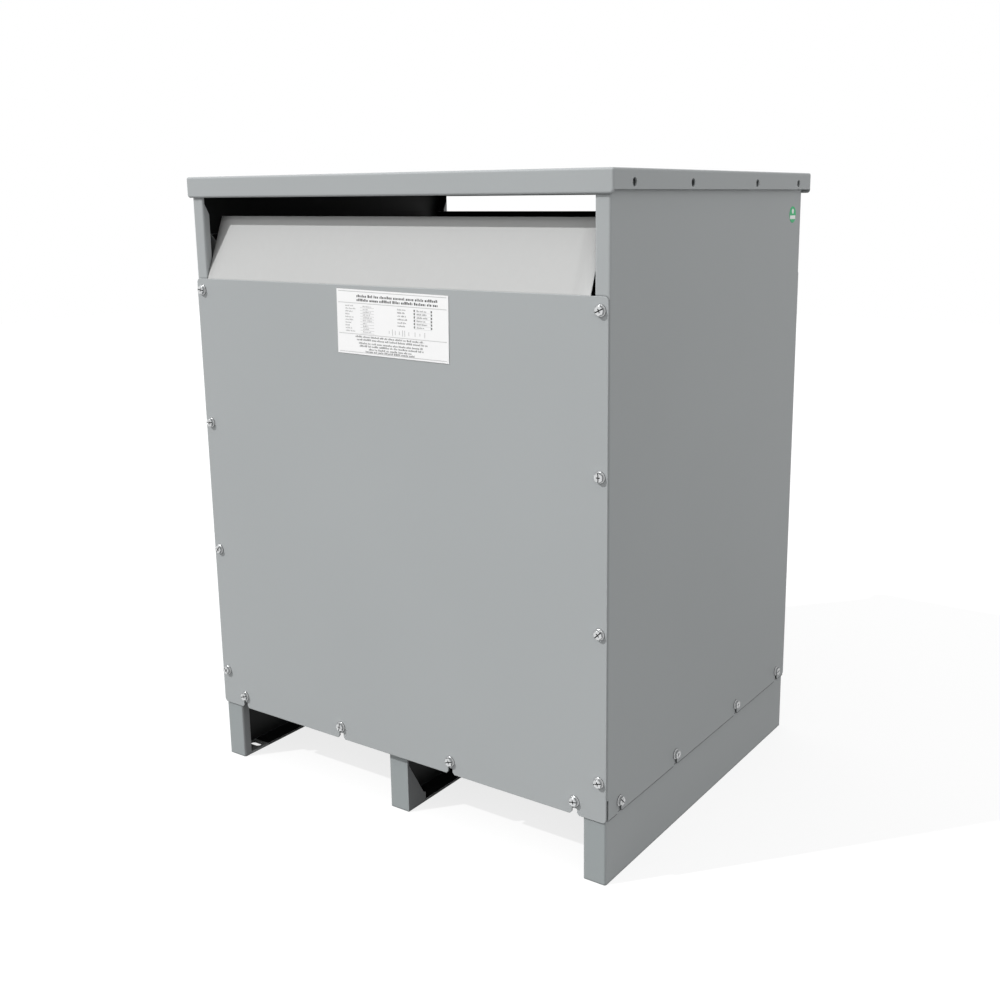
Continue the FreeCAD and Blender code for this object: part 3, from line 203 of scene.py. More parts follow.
def painted(name, colour, edge_highlight, edge_radius, gloss, peel_depth, masks=(), last_masks=()):
    """Painted sheet: the coat with its peel, a painted highlight over cut edges and painted shade in creases.

    Each mask comes with the colour it lays on. The last masks lie over the edges and creases too.
    """
    finish, tree, tie = finish_of(name, specular_ior_level=0.18)
    place = place_of(tree)
    edge = place_group(tree, "cut_edge", {"Radius": edge_radius, "Reach": CREASE_REACH})
    coat = place_group(tree, "baked_coat",
                       {"Place": place, "Colour": colour, "Drift": 0.05, "Gloss": gloss})
    shade = coat["Colour"]
    for mask, masked_colour in masks:
        shade = blend(tree, mask(tree, place), shade, masked_colour)
    # Cut edges get a paler painted highlight, then creases a dark painted shade.
    shade = blend(tree, edge["Edge"], shade, edge_highlight)
    shade = blend(tree, edge["Crease"], shade, CREASE_PAINTED_SHADE)
    for mask, masked_colour in last_masks:
        shade = blend(tree, mask(tree, place), shade, masked_colour)
    tie("Base Color", shade)
    tie("Roughness", coat["Roughness"])
    tie("Normal", bump(tree, coat["Peel"], peel_depth, 0.6, Normal=edge["Normal"]))
    return finish


TURNED = 0.5                 # a face looks a way when its normal's part that way is above this
CAP_TURNED = 0.7             # the same for the rails' end plates
SIDE_FACE = 0.2995           # the side sheets lie beyond this
INSIDE_SHADE_DEEPENS = (0.242, 0.208)             # between these depths the near black painted shade comes in to full
INSIDE = (0.3055, 0.2495, 0.7785)        # half width, half depth and height that the outside lies beyond
FOOT_TOP = 0.0765
FOOT_DEPTH = 0.2055          # the outer feet's lighter painted shade stops at this depth, near black painted shade beyond
FOOT_MIDDLE = 0.26           # the middle of an outer foot, sideways
FOOT_HALF = 0.03
FLANGE_TOP = 0.004
GUSSET_DEPTH = 0.2           # the gusset lies beyond this
GUSSET_HALF = 0.05
JOINT_RISE = 0.0004          # the middle of the joint line above the panels' lower edge
JOINT_HALF = 0.0006


def lie_of(tree, place):
    """How far out a point lies, sideways and lengthways, its height, and its face's turn out in each."""
    axes = parts_of(tree, place)
    facing = parts_of(tree, node(tree, "NewGeometry").outputs["Normal"])
    return (value(tree, "ABSOLUTE", axes["X"]), value(tree, "ABSOLUTE", axes["Y"]), axes["Z"],
            value(tree, "MULTIPLY", facing["X"], value(tree, "SIGN", axes["X"])),
            value(tree, "MULTIPLY", facing["Y"], value(tree, "SIGN", axes["Y"])), facing["Z"])


def turned_in(tree, place):
    """1 on faces that look in from the front or the rear."""
    return less(tree, lie_of(tree, place)[4], -TURNED)


def painted_inside_shade(tree, place):
    """1 where the inside is painted near black as painted shade: faces turned in, and those deep between the
    front and the rear.
    """
    aside, along, height, out_x, out_y, _ = lie_of(tree, place)
    deep = ramp(tree, along, *INSIDE_SHADE_DEEPENS)
    beyond = less(tree, SIDE_FACE, aside)
    facing_in = value(tree, "MAXIMUM", turned_in(tree, place), both(tree, less(tree, out_x, -TURNED), beyond))
    within = both(tree, *(less(tree, reach, limit) for reach, limit in zip((aside, along, height), INSIDE)))
    outer_side = both(tree, less(tree, TURNED, out_x), beyond)
    return both(tree, within, value(tree, "SUBTRACT", 1.0, outer_side), value(tree, "MAXIMUM", deep, facing_in))


def foot_edge_shade(tree, place):
    """1 on the outer feet's returned edges and floor flange, within, painted a little darker than the coat as
    painted shade.
    """
    aside, along, height, out_x, _, up = lie_of(tree, place)
    from_middle = value(tree, "ABSOLUTE", value(tree, "SUBTRACT", aside, FOOT_MIDDLE))
    edges = both(tree, less(tree, from_middle, FOOT_HALF),
                 less(tree, TURNED, value(tree, "ABSOLUTE", out_x)), less(tree, height, FOOT_TOP))
    flange = both(tree, less(tree, TURNED, up), less(tree, height, FLANGE_TOP))
    return both(tree, less(tree, FOOT_DEPTH, along), value(tree, "MAXIMUM", flange, edges))


def gusset_shade(tree, place):
    """1 on the centre rail's gusset, painted dark grey as painted shade."""
    aside, along, height, out_x, _, _ = lie_of(tree, place)
    return both(tree, less(tree, GUSSET_DEPTH, along), less(tree, aside, GUSSET_HALF),
                less(tree, TURNED, out_x), less(tree, height, FOOT_TOP))


def foot_end_shade(tree, place):
    """1 on the rails' end faces low down, painted a shade darker as painted shade near the floor."""
    _, _, height, _, out_y, _ = lie_of(tree, place)
    return both(tree, less(tree, height, FOOT_TOP), less(tree, CAP_TURNED, out_y))


def joint_shade_line(tree, place):
    """1 along the side panels' lower edge, where they lie on the rails, painted dark as painted shade."""
    aside, _, height, out_x, _, _ = lie_of(tree, place)
    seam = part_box("side_panel_right")[0].z + JOINT_RISE
    return both(tree, less(tree, SIDE_FACE, aside), less(tree, TURNED, out_x),
                less(tree, value(tree, "ABSOLUTE", value(tree, "SUBTRACT", height, seam)), JOINT_HALF))


# Near black colour painted on faces within, a painted shade.
INSIDE_PAINTED_SHADE = (0.016, 0.017, 0.017, 1)
# Each mask below paints shade into the coat's colour.
housing_paint = painted("housing_paint", colour=(0.405, 0.424, 0.429, 1), edge_highlight=(0.66, 0.69, 0.7, 1),
                        edge_radius=0.0008, gloss=0.5, peel_depth=0.00004,
                        masks=((foot_end_shade, (0.335, 0.362, 0.366, 1)), (painted_inside_shade, INSIDE_PAINTED_SHADE),
                               (foot_edge_shade, (0.33, 0.343, 0.347, 1)),
                               (gusset_shade, (0.21, 0.218, 0.221, 1))),
                        last_masks=((joint_shade_line, (0.12, 0.125, 0.127, 1)),))
paint_pieces(HOUSING_PIECES, housing_paint)


# Rubber pads: moulded black rubber between the core and the housing, with a matt, faintly
# mottled skin that has picked up a little dust on top.

finish, tree, tie = finish_of("pad_rubber", specular_ior_level=0.3)
skin = noise(tree, place_of(tree), 420.0, 3.0)
up = parts_of(tree, node(tree, "NewGeometry").outputs["Normal"])["Z"]
dust = value(tree, "MULTIPLY", value(tree, "MAXIMUM", up, 0.0), skin)
tie("Base Color", blend(tree, dust, (0.014, 0.014, 0.015, 1), (0.09, 0.085, 0.08, 1)))
tie("Roughness", value(tree, "MULTIPLY_ADD", skin, 0.2, 0.68))
tie("Normal", bump(tree, skin, 0.0001, 0.5))
paint_pieces([f"{end}_{side}_pad" for end in ("front", "rear") for side in ("left", "right")], finish)


# Core, its top yoke and their clamps. The core is a stack of thin silicon steel sheets, varnished
# dark, whose edges show as fine lines; the clamps are steel channels in dark grey primer.

CORE_SHEET = 0.0005          # one lamination

tree, given, result = group("stacked_sheets", {"Along": "Float", "Pitch": "Float"},
                            {"Groove": "Float", "Shade": "Float"})
count = value(tree, "DIVIDE", given["Along"], given["Pitch"])
within = value(tree, "ABSOLUTE", value(tree, "SUBTRACT", value(tree, "FRACT", count), 0.5))
tree.links.new(value(tree, "SUBTRACT", 1.0, value(tree, "POWER", value(tree, "MULTIPLY", within, 2.0), 3.0)),
               result["Groove"])
one = node(tree, "CombineXYZ", {"X": value(tree, "FLOOR", count)}).outputs[0]
tree.links.new(node(tree, "TexWhiteNoise", {"Vector": one}, noise_dimensions="3D").outputs["Value"],
               result["Shade"])

finish, tree, tie = finish_of("core_steel", specular_ior_level=0.5, coat_weight=0.25, coat_roughness=0.2)
place = place_of(tree)
layer = place_group(tree, "stacked_sheets", {"Along": parts_of(tree, place)["Y"], "Pitch": CORE_SHEET})
varnish = noise(tree, place, 14.0, 5.0)
tone = value(tree, "MULTIPLY_ADD", layer["Shade"], 0.25, varnish)
tie("Base Color", blend(tree, tone, (0.03, 0.026, 0.022, 1), (0.13, 0.115, 0.1, 1)))
tie("Metallic", value(tree, "MULTIPLY", varnish, 0.6))
tie("Roughness", value(tree, "MULTIPLY_ADD", varnish, 0.25, 0.3))
tie("Normal", bump(tree, layer["Groove"], 0.0002, 0.5))
paint_pieces(("core_stack", "top_yoke"), finish)

clamp_primer = painted("clamp_primer", colour=(0.085, 0.095, 0.1, 1), edge_highlight=(0.16, 0.17, 0.175, 1),
                       edge_radius=0.0015, gloss=0.55, peel_depth=0.0001)
paint_pieces(("lower_front_clamp", "lower_rear_clamp", "upper_front_clamp", "upper_rear_clamp"), clamp_primer)


# Coils: strip for the low voltage winding inside, wire for the high voltage one outside, wound
# turn on turn, wrapped and dipped in amber varnish, which pools and darkens between the turns.


def wound(name, turn, pale, dark):
    """Varnished turns that run round the coil, one above the other, a stated height apart."""
    finish, tree, tie = finish_of(name, specular_ior_level=0.5, coat_weight=0.35, coat_roughness=0.18)
    place = place_of(tree)
    level = value(tree, "MULTIPLY_ADD", noise(tree, place, 9.0, 2.0), turn * 0.8, parts_of(tree, place)["Z"])
    layer = place_group(tree, "stacked_sheets", {"Along": level, "Pitch": turn})
    pool = noise(tree, place, 30.0, 4.0)
    tone = value(tree, "MULTIPLY", layer["Groove"], value(tree, "MULTIPLY_ADD", layer["Shade"], 0.4, pool),
                 use_clamp=True)
    tie("Base Color", blend(tree, tone, (*dark, 1), (*pale, 1)))
    tie("Roughness", value(tree, "MULTIPLY_ADD", pool, 0.3, 0.25))
    tie("Normal", bump(tree, layer["Groove"], turn * 0.25, 0.8))
    return finish


paint_pieces([f"{phase}_high_voltage_coil" for phase in ("left", "middle", "right")],
             wound("high_voltage_wire", turn=0.003, pale=(0.5, 0.33, 0.12), dark=(0.16, 0.08, 0.022)))
paint_pieces([f"{phase}_low_voltage_coil" for phase in ("left", "middle", "right")],
             wound("low_voltage_strip", turn=0.0075, pale=(0.46, 0.3, 0.13), dark=(0.12, 0.06, 0.02)))


# Insulation: duct sticks, coil blocks, phase barriers and tap boards, sawn from glass polyester
# board. Short glass strands show under the surface as paler flecks that lie every way.

tree, given, result = group("glass_strands", {"Place": "Vector", "Scale": "Float"}, {"Strand": "Float"})
warped = node(tree, "TexNoise", {"Vector": given["Place"], "Scale": 60.0, "Detail": 1.0}).outputs["Color"]
moved = scaled(tree, warped, 0.006)
laid = node(tree, "VectorMath", {0: given["Place"], 1: moved}, operation="ADD").outputs[0]
cells = node(tree, "TexVoronoi", {"Vector": laid, "Scale": given["Scale"]}, feature="DISTANCE_TO_EDGE")
off_strand = value(tree, "MULTIPLY", cells.outputs["Distance"], 9.0, use_clamp=True)
tree.links.new(value(tree, "SUBTRACT", 1.0, off_strand), result["Strand"])


def board(name, body, strand):
    """Glass polyester board of one colour, with its strands."""
    finish, tree, tie = finish_of(name, specular_ior_level=0.4)
    place = place_of(tree)
    strands = place_group(tree, "glass_strands", {"Place": place, "Scale": 190.0})["Strand"]
    cloud = noise(tree, place, 25.0, 4.0)
    tie("Base Color", blend(tree, value(tree, "MULTIPLY", strands, cloud), (*body, 1), (*strand, 1)))
    tie("Roughness", value(tree, "MULTIPLY_ADD", cloud, 0.3, 0.35))
    tie("Normal", bump(tree, strands, 0.00008, 0.5))
    return finish


paint_pieces(("duct_sticks", "lower_coil_blocks", "upper_coil_blocks"),
             board("pale_glass_board", body=(0.56, 0.5, 0.33), strand=(0.72, 0.68, 0.52)))
paint_pieces(("left_tap_board", "middle_tap_board", "right_tap_board",
              "left_phase_barrier", "right_phase_barrier"),
             board("red_glass_board", body=(0.3, 0.06, 0.04), strand=(0.5, 0.2, 0.14)))


# Bars, links and the ground lug: bare aluminium, sawn from drawn flat bar, so that the grain
# runs along each piece.

tree, given, result = group(
    "metal_skin", {"Place": "Vector", "Stretch": "Vector", "Colour": "Color", "Polish": "Float"},
    {"Colour": "Color", "Roughness": "Float", "Grain": "Float"})
drawn = node(tree, "VectorMath", {0: given["Place"], 1: given["Stretch"]}, operation="MULTIPLY").outputs[0]
grain = noise(tree, drawn, 1.0, 4.0)
bloom = noise(tree, given["Place"], 55.0, 4.0)
shade = value(tree, "MULTIPLY_ADD", value(tree, "ADD", grain, bloom), 0.22, 0.78)
tree.links.new(scaled(tree, given["Colour"], shade), result["Colour"])
tree.links.new(value(tree, "MULTIPLY_ADD", bloom, 0.2, given["Polish"]), result["Roughness"])
tree.links.new(grain, result["Grain"])


def bare_metal(name, colour, polish, stretch, depth, edge_radius=0.0004):
    """Bare or plated metal whose grain is drawn out along the smallest of three stretches."""
    finish, tree, tie = finish_of(name, metallic=1.0)
    skin = place_group(tree, "metal_skin", {"Place": place_of(tree), "Stretch": stretch,
                                            "Colour": (*colour, 1), "Polish": polish})
    edge = place_group(tree, "cut_edge", {"Radius": edge_radius, "Reach": 0.002})
    # Creases are painted dark, a painted shade.
    tie("Base Color", blend(tree, value(tree, "MULTIPLY", edge["Crease"], 0.6), skin["Colour"],
                            (0.05, 0.05, 0.048, 1)))
    tie("Roughness", skin["Roughness"])
    tie("Normal", bump(tree, skin["Grain"], depth, 0.4, Normal=edge["Normal"]))
    return finish


paint_pieces([f"{phase}_low_voltage_bar" for phase in ("left", "middle", "right")],
             bare_metal("bar_aluminium", colour=(0.75, 0.76, 0.77), polish=0.24, stretch=(1800, 30, 30),
                        depth=0.00003))
paint_pieces(("neutral_bar", "left_phase_link", "right_phase_link", "outer_phase_link", "ground_lug"),
             bare_metal("link_aluminium", colour=(0.72, 0.73, 0.74), polish=0.26, stretch=(30, 900, 1800),
                        depth=0.00003))


# Bolts, studs and tie rods: plated steel with a faint straw tint, which hold the core together
# and to the housing.

paint_pieces(("yoke_bolts", "pad_bolts", "support_bolts", "tap_studs", "tie_rods"),
             bare_metal("bolt_plating", colour=(0.62, 0.6, 0.52), polish=0.27, stretch=(500, 500, 500),
                        depth=0.00003))


# Baffles: plain sheets that lean back into the vent openings over the covers, so that air passes
# and fingers and falling things do not. They are folded once, and dipped in zinc, which has
# weathered to an even pale grey; the front one stops a little short of the right column.

BAFFLE_SHEET = 0.0015
BAFFLE_FOLD = 0.0008         # above the cover's top edge
BAFFLE_LEAN = math.radians(20.9)
BAFFLE_BEND = 0.003
BAFFLE_SHORT = 0.0038        # left free at the right end
RIGHT_END_LIGHT_REACH = 0.021          # how far in from the right end the zinc is painted paler, a painted light where the column shades it
RIGHT_END_LIGHT_GAIN = 0.85             # how much paler it is painted at that end
RIGHT_END_LIGHT_CURVE = 1.6

baffle_low, baffle_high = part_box("front_baffle")

tree, given, result = group("zinc_bloom", {"Place": "Vector", "Colour": "Color", "Drift": "Float"},
                            {"Colour": "Color", "Bloom": "Float"})
leaves = node(tree, "TexVoronoi", {"Vector": given["Place"], "Scale": 140.0}).outputs["Color"]
haze = noise(tree, given["Place"], 9.0, 5.0)
mixed = value(tree, "MULTIPLY_ADD", parts_of(tree, leaves)["X"], 0.3, haze)
shade = value(tree, "MULTIPLY_ADD", value(tree, "SUBTRACT", mixed, 0.65), given["Drift"], 1.0)
tree.links.new(scaled(tree, given["Colour"], shade), result["Colour"])
tree.links.new(mixed, result["Bloom"])

dull_zinc, tree, tie = finish_of("dull_zinc", specular_ior_level=0.2)
place = place_of(tree)
bloom = place_group(tree, "zinc_bloom", {"Place": place, "Colour": (0.49, 0.493, 0.488, 1), "Drift": 0.05})
edge = place_group(tree, "cut_edge", {"Radius": 0.0008, "Reach": CREASE_REACH})
# Toward the right end the zinc is painted paler, a painted light; faces turned in get the near black painted
# shade.
right_end = baffle_high.x - BAFFLE_SHORT
near_right_end = ramp(tree, parts_of(tree, place)["X"], right_end - RIGHT_END_LIGHT_REACH, right_end)
paler = value(tree, "MULTIPLY_ADD", value(tree, "POWER", near_right_end, RIGHT_END_LIGHT_CURVE), RIGHT_END_LIGHT_GAIN, 1.0)
tie("Base Color", blend(tree, turned_in(tree, place), scaled(tree, bloom["Colour"], paler), INSIDE_PAINTED_SHADE))
tie("Roughness", value(tree, "MULTIPLY_ADD", bloom["Bloom"], 0.15, 0.5))
tie("Normal", bump(tree, bloom["Bloom"], 0.00002, 0.5, Normal=edge["Normal"]))
paint_pieces(("rear_baffle",), dull_zinc)


def grid_faces(rows, steps):
    """The faces of an open grid of rows by steps, each joining a row to the next one up."""
    row, step = np.meshgrid(np.arange(rows - 1), np.arange(steps - 1), indexing="ij")
    first = row * steps + step
    return np.stack([first, first + 1, first + steps + 1, first + steps], -1).reshape(-1, 4)


def leaning_line(upright, rise):
    """Depth and height along the baffle's outer face: up to the fold, round the bend, and up the lean.

    In the bend, depth is the radius times one less the cosine of the angle turned, and height grows by
    the radius times its sine.
    """
    turn = np.linspace(0, BAFFLE_LEAN, 9)
    start = upright - BAFFLE_BEND * math.tan(BAFFLE_LEAN / 2)
    depth, height = BAFFLE_BEND * (1 - np.cos(turn)), start + BAFFLE_BEND * np.sin(turn)
    left = np.linspace(0, 1, 12)[1:] * (rise - height[-1])
    return (np.concatenate([[0], depth, depth[-1] + left * math.tan(BAFFLE_LEAN)]),
            np.concatenate([[0], height, height[-1] + left]))


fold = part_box("front_cover")[1].z + BAFFLE_FOLD - baffle_low.z
depth, height = leaning_line(fold, baffle_high.z - baffle_low.z)
across = np.linspace(baffle_low.x, baffle_high.x - BAFFLE_SHORT, 25)
points = np.stack([np.broadcast_to(across, (len(depth), len(across))),
                   np.broadcast_to((baffle_low.y + depth)[:, None], (len(depth), len(across))),
                   np.broadcast_to((baffle_low.z + height)[:, None], (len(depth), len(across)))], -1)
data = bpy.data.meshes.new("front_baffle_sheet")
data.from_pydata(points.reshape(-1, 3), [], grid_faces(*points.shape[:2]).tolist())
data.shade_smooth()
data.set_sharp_from_angle(angle=math.radians(30))
data.materials.append(dull_zinc)
baffle = bpy.data.objects.new("front_baffle_sheet", data)
bpy.context.scene.collection.objects.link(baffle)
wall = baffle.modifiers.new("wall", "SOLIDIFY")
wall.thickness = BAFFLE_SHEET
wall.offset = -1
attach(baffle, "root")
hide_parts("front_baffle")


# Cover screws: thread-cutting screws with a hexagon head, a washer forged on under it, and a
# slot crossed by a shorter one in a dished top. They are plated with bright zinc.

WASHER_RADIUS = 0.0063
WASHER_DEPTH = 0.0011
WASHER_EASE = 0.0003         # rounding of the washer's rim
HEAD_FLATS = 0.0095
HEAD_HEIGHT = 0.0034
DISH_RADIUS = 0.0043
DISH_DEPTH = 0.0005
DISH_RINGS = 26
SLOT_HALF = 0.0005
SLOT_WALL = 0.00012          # half the width over which a slot's wall drops
CROSS_REACH = 0.0023
SLOT_DEPTH = 0.0012
SLOTTED_FROM = 8             # the first ring that the slots lower
RIM_SHADE = (0.8, 0.8, 0.8, 0.25, 0.1, 0.6, 0.3)     # painted shade on the first rings, under and on the washer
SHANK_RADIUS = 0.00315
THREAD_PITCH = 0.0018
THREAD_DEPTH = 0.00045
SHANK_LENGTH = 0.015
THREAD_START = 0.001         # the thread grows to its depth over this
TIP_LENGTH = 0.003
TIP_DRAW = 0.35              # share of the radius lost at the tip
HEAD_STEPS = 72              # round the head
SHANK_STEPS = 24             # round the shank
SHANK_ROWS = 56


def smooth(low, high, amount):
    """0 below low, 1 above high, and a smooth cubic step from one to the other between them."""
    part = np.clip((amount - low) / (high - low), 0, 1)
    return part * part * (3 - 2 * part)


def closed_grid(points):
    """Points and faces of a grid whose rows close round, with its first and last rows shrunk to a point.

    The grid is rows by steps by three. Each face joins a row to the next one up.
    """
    rows, steps, _ = points.shape
    row, step = np.meshgrid(np.arange(rows - 1), np.arange(steps), indexing="ij")
    after = (step + 1) % steps
    faces = np.stack([row * steps + step, row * steps + after,
                      (row + 1) * steps + after, (row + 1) * steps + step], -1)
    return points.reshape(-1, 3), faces.reshape(-1, 4)


def screw_head():
    """The head, out along +Z, from the middle of the washer's underside round to the middle of the top.

    The radius at each angle is the washer's circle below and the hexagon's above: half the flats over
    the cosine of the angle from the nearest flat. The top is a shallow dish, its depth one less the
    square of the share of the radius, lowered again in the two slots.
    """
    turn = np.linspace(0, 2 * np.pi, HEAD_STEPS, endpoint=False)
    from_flat = (turn + np.pi / 6) % (np.pi / 3) - np.pi / 6
    hexagon = HEAD_FLATS / 2 / np.cos(from_flat)
    circle = np.full(HEAD_STEPS, WASHER_RADIUS)
    top = WASHER_DEPTH + HEAD_HEIGHT
    rings = [(circle * 0, 0), (circle - WASHER_EASE, 0), (circle, WASHER_EASE),
             (circle, WASHER_DEPTH - WASHER_EASE), (circle - WASHER_EASE, WASHER_DEPTH),
             (hexagon + 0.0005, WASHER_DEPTH + 0.0001), (hexagon, WASHER_DEPTH + 0.0006),
             (hexagon, top - 0.0009), (np.minimum(hexagon, 0.0052), top - 0.0004),
             (np.full(HEAD_STEPS, 0.0046), top - 0.00005), (np.full(HEAD_STEPS, DISH_RADIUS), top)]
    rings += [(np.full(HEAD_STEPS, DISH_RADIUS * share), top - DISH_DEPTH * (1 - share ** 2))
              for share in np.linspace(1, 0, DISH_RINGS)[1:]]
    radius = np.array([ring for ring, _ in rings])
    level = np.array([height for _, height in rings])[:, None] + 0 * radius
    across, along = radius * np.cos(turn), radius * np.sin(turn)
    slot = 1 - smooth(SLOT_HALF - SLOT_WALL, SLOT_HALF + SLOT_WALL, np.abs(across))
    cross = (1 - smooth(SLOT_HALF - SLOT_WALL, SLOT_HALF + SLOT_WALL, np.abs(along))) * (
        1 - smooth(CROSS_REACH - SLOT_WALL, CROSS_REACH + SLOT_WALL, np.abs(across)))
    # The slots and the rings under and on the washer carry a painted shade, kept with the points.
    cut = np.maximum(slot, cross) * (np.arange(len(rings))[:, None] >= SLOTTED_FROM)
    rim = np.pad(RIM_SHADE, (0, len(rings) - len(RIM_SHADE)))[:, None]
    points, faces = closed_grid(np.stack([across, along, level - SLOT_DEPTH * cut], -1))
    return points, faces, np.maximum(cut, rim + 0 * cut).ravel()


def screw_shank():
    """The shank, down along -Z: a threaded cylinder whose tip draws in.

    The radius dips by the thread's depth and back once each pitch, and the dip comes lower by the share
    of a pitch that the angle is of a turn.
    """
    turn = np.linspace(0, 2 * np.pi, SHANK_STEPS, endpoint=False)
    depth = np.linspace(0, SHANK_LENGTH, SHANK_ROWS)[:, None]
    phase = (depth / THREAD_PITCH - turn / (2 * np.pi)) % 1
    crest = np.abs(phase - 0.5) * 2
    radius = SHANK_RADIUS - THREAD_DEPTH * (1 - crest) * smooth(0.0, THREAD_START, depth)
    radius = radius * (1 - TIP_DRAW * smooth(SHANK_LENGTH - TIP_LENGTH, SHANK_LENGTH, depth))
    tube = np.stack([radius * np.cos(turn), radius * np.sin(turn), -depth + 0 * turn], -1)
    middle = np.zeros((1, SHANK_STEPS, 3))
    points, faces = closed_grid(np.concatenate([middle, tube, middle - [0, 0, SHANK_LENGTH]])[::-1])
    # The thread's grooves carry a painted shade.
    recess_shade = np.concatenate([crest[:1] * 0, (1 - crest) * 0.6, crest[:1] * 0])
    return points, faces, recess_shade[::-1].ravel()


def mesh_piece(name, parts, finish, smooth_angle=35):
    """One object of several closed surfaces and the painted shade at each point, put in as whole arrays."""
    firsts = np.cumsum([0] + [len(points) for points, _, _ in parts])
    points = np.concatenate([points for points, _, _ in parts])
    faces = np.concatenate([faces + first for (_, faces, _), first in zip(parts, firsts)])
    data = bpy.data.meshes.new(name)
    data.from_pydata(points, [], faces.tolist())
    data.attributes.new("recess_shade", "FLOAT", "POINT").data.foreach_set(
        "value", np.concatenate([recess_shade for _, _, recess_shade in parts]))
    whole = bmesh.new()
    whole.from_mesh(data)
    bmesh.ops.remove_doubles(whole, verts=whole.verts, dist=1e-6)
    bmesh.ops.recalc_face_normals(whole, faces=whole.faces)
    whole.to_mesh(data)
    whole.free()
    data.shade_smooth()
    data.set_sharp_from_angle(angle=math.radians(smooth_angle))
    data.materials.append(finish)
    made = bpy.data.objects.new(name, data)
    bpy.context.scene.collection.objects.link(made)
    return made


def turned(points, outward, spin):
    """Points modelled along +Z, spun about it and then turned to face outward."""
    facing = Vector(outward).to_track_quat("Z", "Y").to_matrix() @ Matrix.Rotation(spin, 3, "Z")
    return points @ np.array(facing).T


ZINC_SHADE = (0.05, 0.051, 0.052, 1)     # painted shade in a screw's recesses and on faces turned from the view

bright_zinc, tree, tie = finish_of("bright_zinc", metallic=1.0)
skin = place_group(tree, "metal_skin", {"Place": place_of(tree), "Stretch": (700, 700, 700),
                                        "Colour": (0.62, 0.63, 0.635, 1), "Polish": 0.17})
recess_shade = node(tree, "Attribute", attribute_name="recess_shade").outputs["Fac"]
# Faces turned from the view are painted darker, a painted shade that changes with the view.
turned_away = node(tree, "LayerWeight", {"Blend": 0.5}).outputs["Facing"]
view_shade = ramp(tree, turned_away, 0.35, 0.65, top=0.4)
tie("Base Color", blend(tree, value(tree, "MAXIMUM", recess_shade, view_shade), skin["Colour"], ZINC_SHADE))
tie("Roughness", value(tree, "MULTIPLY_ADD", recess_shade, 0.4, skin["Roughness"]))
tie("Normal", bump(tree, skin["Grain"], 0.00004, 0.4))

COLUMN_PLACE = 0.295
COLUMN_LEVELS = np.linspace(0.124, 0.640, 4)
BASE_LEVEL = 0.093
BASE_PLACES = (-0.2634, -0.088, 0.088, 0.2634)
PANEL_PLACES = (-0.22105, -0.086, 0.086, 0.22105)

# For each node, the way that each head faces, and the point of the sheet that it sits on.
seats = {
    "front_cover_screws": [((0, -1, 0), (side * COLUMN_PLACE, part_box("front_cover")[0].y, level))
                           for side in (-1, 1) for level in COLUMN_LEVELS],
    "rear_cover_screws": [((0, 1, 0), (side * COLUMN_PLACE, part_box("rear_cover")[1].y, level))
                          for side in (-1, 1) for level in COLUMN_LEVELS],
    "side_panel_screws": [((side, 0, 0), (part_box(f"side_panel_{word}")[side == 1].x, place, BASE_LEVEL))
                          for word, side in (("left", -1), ("right", 1)) for place in PANEL_PLACES],
}
for place in BASE_PLACES:
    seats["front_cover_screws"].append(((0, -1, 0), (place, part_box("front_cover")[0].y, BASE_LEVEL)))
    seats["rear_cover_screws"].append(((0, 1, 0), (place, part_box("rear_cover")[1].y, BASE_LEVEL)))
spins = np.random.default_rng(7)
for name, rows in seats.items():
    parts = []
    for outward, seat in rows:
        spin = spins.uniform(0, 2 * math.pi)
        for points, faces, recess_shade in (screw_head(), screw_shank()):
            parts.append((turned(points, outward, spin) + np.array(seat), faces, recess_shade))
    screws = mesh_piece(f"{name}_finish", parts, bright_zinc)
    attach(screws, "root")
    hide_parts(name)


# Data plate: a white printed film on the front cover, ruled off in bands. The wording is left
# out: rows of plain ticks stand where its lines were, bold above, small in the tables and below.

PLATE_CENTRE = Vector((0.019, 0, 0.6113))
PLATE_SIZE = (0.165, 0.075)
PLATE_TILT = math.radians(0.9)
INK_DEPTH = 0.00004
BAND_RULES = (2.0, 15.2, 51.0, 72.2)     # how far down each long rule lies, in mm
LIST_PITCH = 3.25                        # from line to line of the list on the left, in mm
TABLE_PITCH = 3.7                        # the same in the table on the right
PEAKS = ((79, 3), (84, 7), (88, 5), (94, 4), (99, 7), (102, 7), (108, 4), (117, 5), (124, 3), (131, 6))
FOOT_LINES = ((52.9, 28, 130), (56.3, 30, 135), (60.4, 33, 128), (63.6, 34, 129), (67.0, 48, 112),
              (69.8, 43, 116))           # down, left and right of each line below the tables

plate_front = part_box("data_plate")[0].y
ticks = np.random.default_rng(3)
bars = []                    # each bar's left, right, top and bottom in mm, and its ink


def rule(left, right, down, weight, ink):
    """A ruled line."""
    bars.append((left, right, down, down + weight, ink))


def line_of_print(left, right, down, height, ink):
    """A row of upright ticks of uneven widths and heights, with a wider gap after every few."""
    at = left
    while at < right:
        for _ in range(ticks.integers(3, 9)):
            width = ticks.uniform(0.3, 0.75) * height
            rise = ticks.choice((0, 0.3), p=(0.4, 0.6)) * height
            bars.append((at, min(at + width, right), down + rise, down + height, ink))
            at += width + 0.24 * height
            if at >= right:
                return
        at += 0.5 * height


